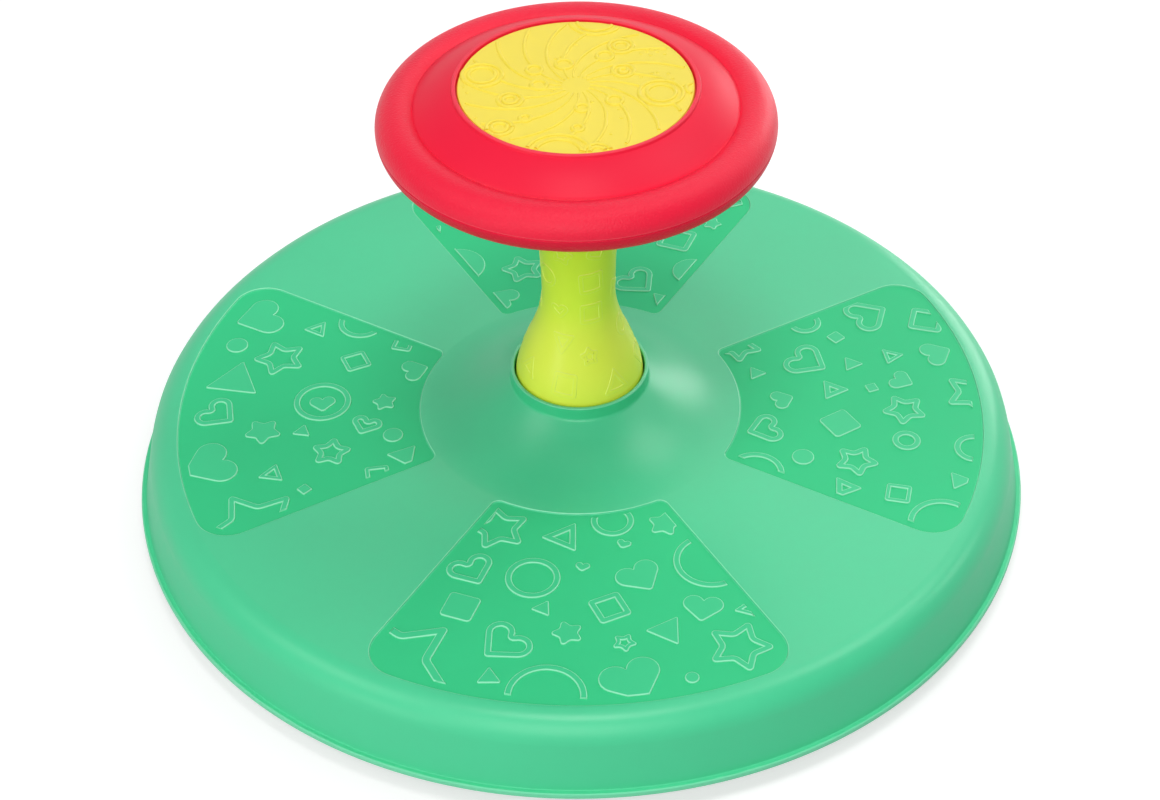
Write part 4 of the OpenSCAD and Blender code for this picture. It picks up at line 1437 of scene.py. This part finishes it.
class Paths:
    """Points joined by edges, with the share of the full bead that each point gets."""

    def __init__(self):
        self.verts = []
        self.edges = []
        self.shares = []

    def add(self, points, closed, share_at):
        first = len(self.verts)
        self.verts += [(p.x, p.y, 0.0) for p in points]
        self.shares += [share_at(p) for p in points]
        self.edges += [(first + k, first + k + 1) for k in range(len(points) - 1)]
        if closed:
            self.edges.append((len(self.verts) - 1, first))

    def mesh(self, name):
        mesh = bpy.data.meshes.new(name)
        mesh.from_pydata(self.verts, self.edges, [])
        shares = mesh.attributes.new("bead_share", "FLOAT", "POINT")
        shares.data.foreach_set("value", self.shares)
        return mesh


disc_paths = Paths()
for x, y, outer, inner in RINGS:
    for radius in (outer * disc_r, inner * disc_r):
        circle = [p + disc_r * Vector((x, y)) for p in ring_loop(radius, 56)] if radius else []
        for run in kept_stretches(circle, lambda p: p.length < relief_edge) if circle else []:
            disc_paths.add(run, len(run) == len(circle), lambda p: 1.0)
for k in range(ARM_COUNT):
    for run in kept_stretches(arm_path(math.tau * k / ARM_COUNT), clear_of_rings):
        disc_paths.add(run, False, lambda p: min(0.35 + p.length / disc_r, 0.85))
for x, y in DOTS:
    disc_paths.add([p + disc_r * Vector((x, y)) for p in ring_loop(dot_r, 12)], True, lambda p: dot_share)
print("the disc has", len(disc_paths.verts), "points on its paths")

# %% [markdown]
# A Geometry Nodes tree sweeps a bead along every path. Each point carries its share of the full bead, so an
# arm can grow from the middle outwards, and the bead is pressed flat afterwards so that it stays low.

# %% Beads on the disc
def bead_tree():
    board, given = geometry_board("beads_on_paths", {
        "Paths": "Geometry", "Bead": "Float", "Flatten": "Float", "Level": "Float", "Material": "Material"})
    path = board.add("GeometryNodeMeshToCurve", None, {"Mesh": given["Paths"]})
    share = board.add("GeometryNodeInputNamedAttribute", {"data_type": "FLOAT"}, {"Name": "bead_share"})
    section = board.add("GeometryNodeCurvePrimitiveCircle", {"mode": "RADIUS"}, {
        "Resolution": 12, "Radius": given["Bead"]})
    beads = board.add("GeometryNodeCurveToMesh", None, {
        "Curve": path, "Profile Curve": section, "Fill Caps": True, "Scale": share})
    spot = board.add("ShaderNodeSeparateXYZ", None, {0: board.add("GeometryNodeInputPosition")})
    height = spot.out("Z") * given["Flatten"] + given["Level"]
    low = board.add("ShaderNodeCombineXYZ", None, {"X": spot.out("X"), "Y": spot.out("Y"), "Z": height})
    flat = board.add("GeometryNodeSetPosition", None, {"Geometry": beads, "Position": low})
    return close_board(board, flat, given["Material"])


bead_r = 1.15 * MM
bead_flatten = 0.85
disc_relief = grow(
    "disc_relief", bead_tree(), disc_paths.mesh("disc_relief.paths"), Bead=bead_r, Flatten=bead_flatten,
    Level=disc_face_z, Material=disc_yellow)
tidy(disc_relief.data)
settle(disc_relief, "base", "disc_yellow")

# %% [markdown]
# ## Floor
# The toy stands on a plain white floor. The floor keeps the toy's shadow, and a little light of its own,
# which only the camera, reflections and glass see, takes it to white further out. Seen from below it is
# clear, so that the underside can be looked at.

# %% Floor
WHITE = (1.0, 1.0, 1.0, 1.0)
BLACK = (0.0, 0.0, 0.0, 1.0)
near_glow = 0.55
glow_from_r = 0.5
glow_full_r = 2.5
floor_half = 30.0


def shown(board):
    """One on the rays that show a surface to the camera, a reflection or glass, and zero on the rest."""
    rays = board.add("ShaderNodeLightPath")
    seen = rays.out("Is Camera Ray") + rays.out("Is Glossy Ray") + rays.out("Is Transmission Ray")
    return board.add("ShaderNodeMath", {"operation": "MINIMUM"}, {0: seen, 1: 1.0})


def white_floor():
    material, board, place = start_finish("studio_floor")
    tint = between(board, noise(board, place, 300 * MM), (0.58, 0.58, 0.58, 1.0), (0.60, 0.60, 0.60, 1.0))
    level = near_glow + (1 - near_glow) * beyond(board, place, glow_from_r, glow_full_r)
    glow = between(board, shown(board) * level, BLACK, WHITE)
    shader = board.add("ShaderNodeBsdfPrincipled", None, {
        "Base Color": tint, "Roughness": 0.9, "Emission Color": glow, "Emission Strength": 1.0})
    underside = board.add("ShaderNodeNewGeometry", None, None, "Backfacing")
    clear = board.add("ShaderNodeBsdfTransparent")
    one_sided = board.add("ShaderNodeMixShader", None, {0: underside, 1: shader, 2: clear})
    board.add("ShaderNodeOutputMaterial", None, {"Surface": one_sided})
    return material


floor_mesh = bpy.data.meshes.new("studio_floor")
floor_mesh.from_pydata(
    [(-floor_half, -floor_half, 0), (floor_half, -floor_half, 0), (floor_half, floor_half, 0),
     (-floor_half, floor_half, 0)], [], [(0, 1, 2, 3)])
floor_mesh.materials.append(white_floor())
floor = bpy.data.objects.new("studio_floor", floor_mesh)
bpy.context.scene.collection.objects.link(floor)
print("floor is", 2 * floor_half, "m wide")

# %% [markdown]
# ## Light
# Eight soft lamps stand round the toy as in a studio: broad ones in front, on the left and above for an even
# light, small ones on the right for the sheen on the rim, and a near one at the right back for the highlight
# on the bell. Each lamp is given by its turn and rise in degrees, its distance, its width and the brightness
# of its face. The world is dim, and white only where it is seen.

# %% Lamps and world
lamp_aim = Vector((0.0, 0.0, 0.1))
dim_world = 0.05
LAMPS = {
    "front_lamp": (-6, 34, 2.2, 1.4, 3.4),
    "left_front_lamp": (-44, 8, 2.2, 0.6, 5.5),
    "left_high_lamp": (-70, 48, 2.2, 1.0, 2.6),
    "right_lamp": (100, 27, 2.2, 0.4, 7.0),
    "right_back_lamp": (140, 16, 0.95, 0.38, 4.4),
    "right_high_lamp": (110, 58, 2.2, 0.9, 3.5),
    "back_lamp": (168, 46, 2.2, 1.2, 1.3),
    "top_lamp": (0, 80, 2.2, 0.6, 10.0),
}


def soft_lamp(name, turn, rise, away, width, brightness):
    """A square lamp that looks at the toy. Its brightness is that of its face, where 1 is white."""
    lamp = bpy.data.lights.new(name, "AREA")
    lamp.size = width
    lamp.energy = brightness * math.pi * width ** 2
    turn, rise = math.radians(turn), math.radians(rise)
    ahead = Vector((math.sin(turn) * math.cos(rise), -math.cos(turn) * math.cos(rise), math.sin(rise)))
    holder = bpy.data.objects.new(name, lamp)
    holder.location = lamp_aim + ahead * away
    holder.rotation_mode = "QUATERNION"
    holder.rotation_quaternion = ahead.to_track_quat("Z", "Y")
    bpy.context.scene.collection.objects.link(holder)


for lamp_name, setting in LAMPS.items():
    soft_lamp(lamp_name, *setting)

world = bpy.data.worlds.new("studio")
world.use_nodes = True
world.node_tree.nodes.clear()
sky = Board(world.node_tree)
dim = sky.add("ShaderNodeBackground", None, {"Color": WHITE, "Strength": dim_world})
white = sky.add("ShaderNodeBackground", None, {"Color": WHITE, "Strength": 1.0})
sky.add("ShaderNodeOutputWorld", None, {
    "Surface": sky.add("ShaderNodeMixShader", None, {0: shown(sky), 1: dim, 2: white})})
bpy.context.scene.world = world
bpy.context.scene.view_settings.view_transform = "Standard"
print(len(LAMPS), "soft lamps and a dim world that looks white")

# %% [markdown]
# ## Camera
# The photograph was taken from above and in front with a long lens, and its picture is turned by less than
# a degree. The lens, height and turn come from fitting the round edges of dish, collar and wheel.

# %% Camera
camera_aim = Vector((0.0, 0.0, 56.4 * MM))
camera_distance = 1328.9 * MM
camera_rise = math.radians(41.16)
camera_roll = math.radians(-0.76)
camera_data = bpy.data.cameras.new("camera")
camera_data.lens = 71.84
camera_data.sensor_width = 36.0
camera = bpy.data.objects.new("camera", camera_data)
back = Vector((0.0, -math.cos(camera_rise), math.sin(camera_rise)))
camera.location = camera_aim + back * camera_distance
facing = (-back).to_track_quat("-Z", "Y").to_matrix().to_4x4()
camera.rotation_euler = facing.to_euler()
camera.rotation_euler.rotate_axis("Z", camera_roll)
bpy.context.scene.collection.objects.link(camera)
bpy.context.scene.camera = camera
print("camera", round(camera_distance, 3), "m away")
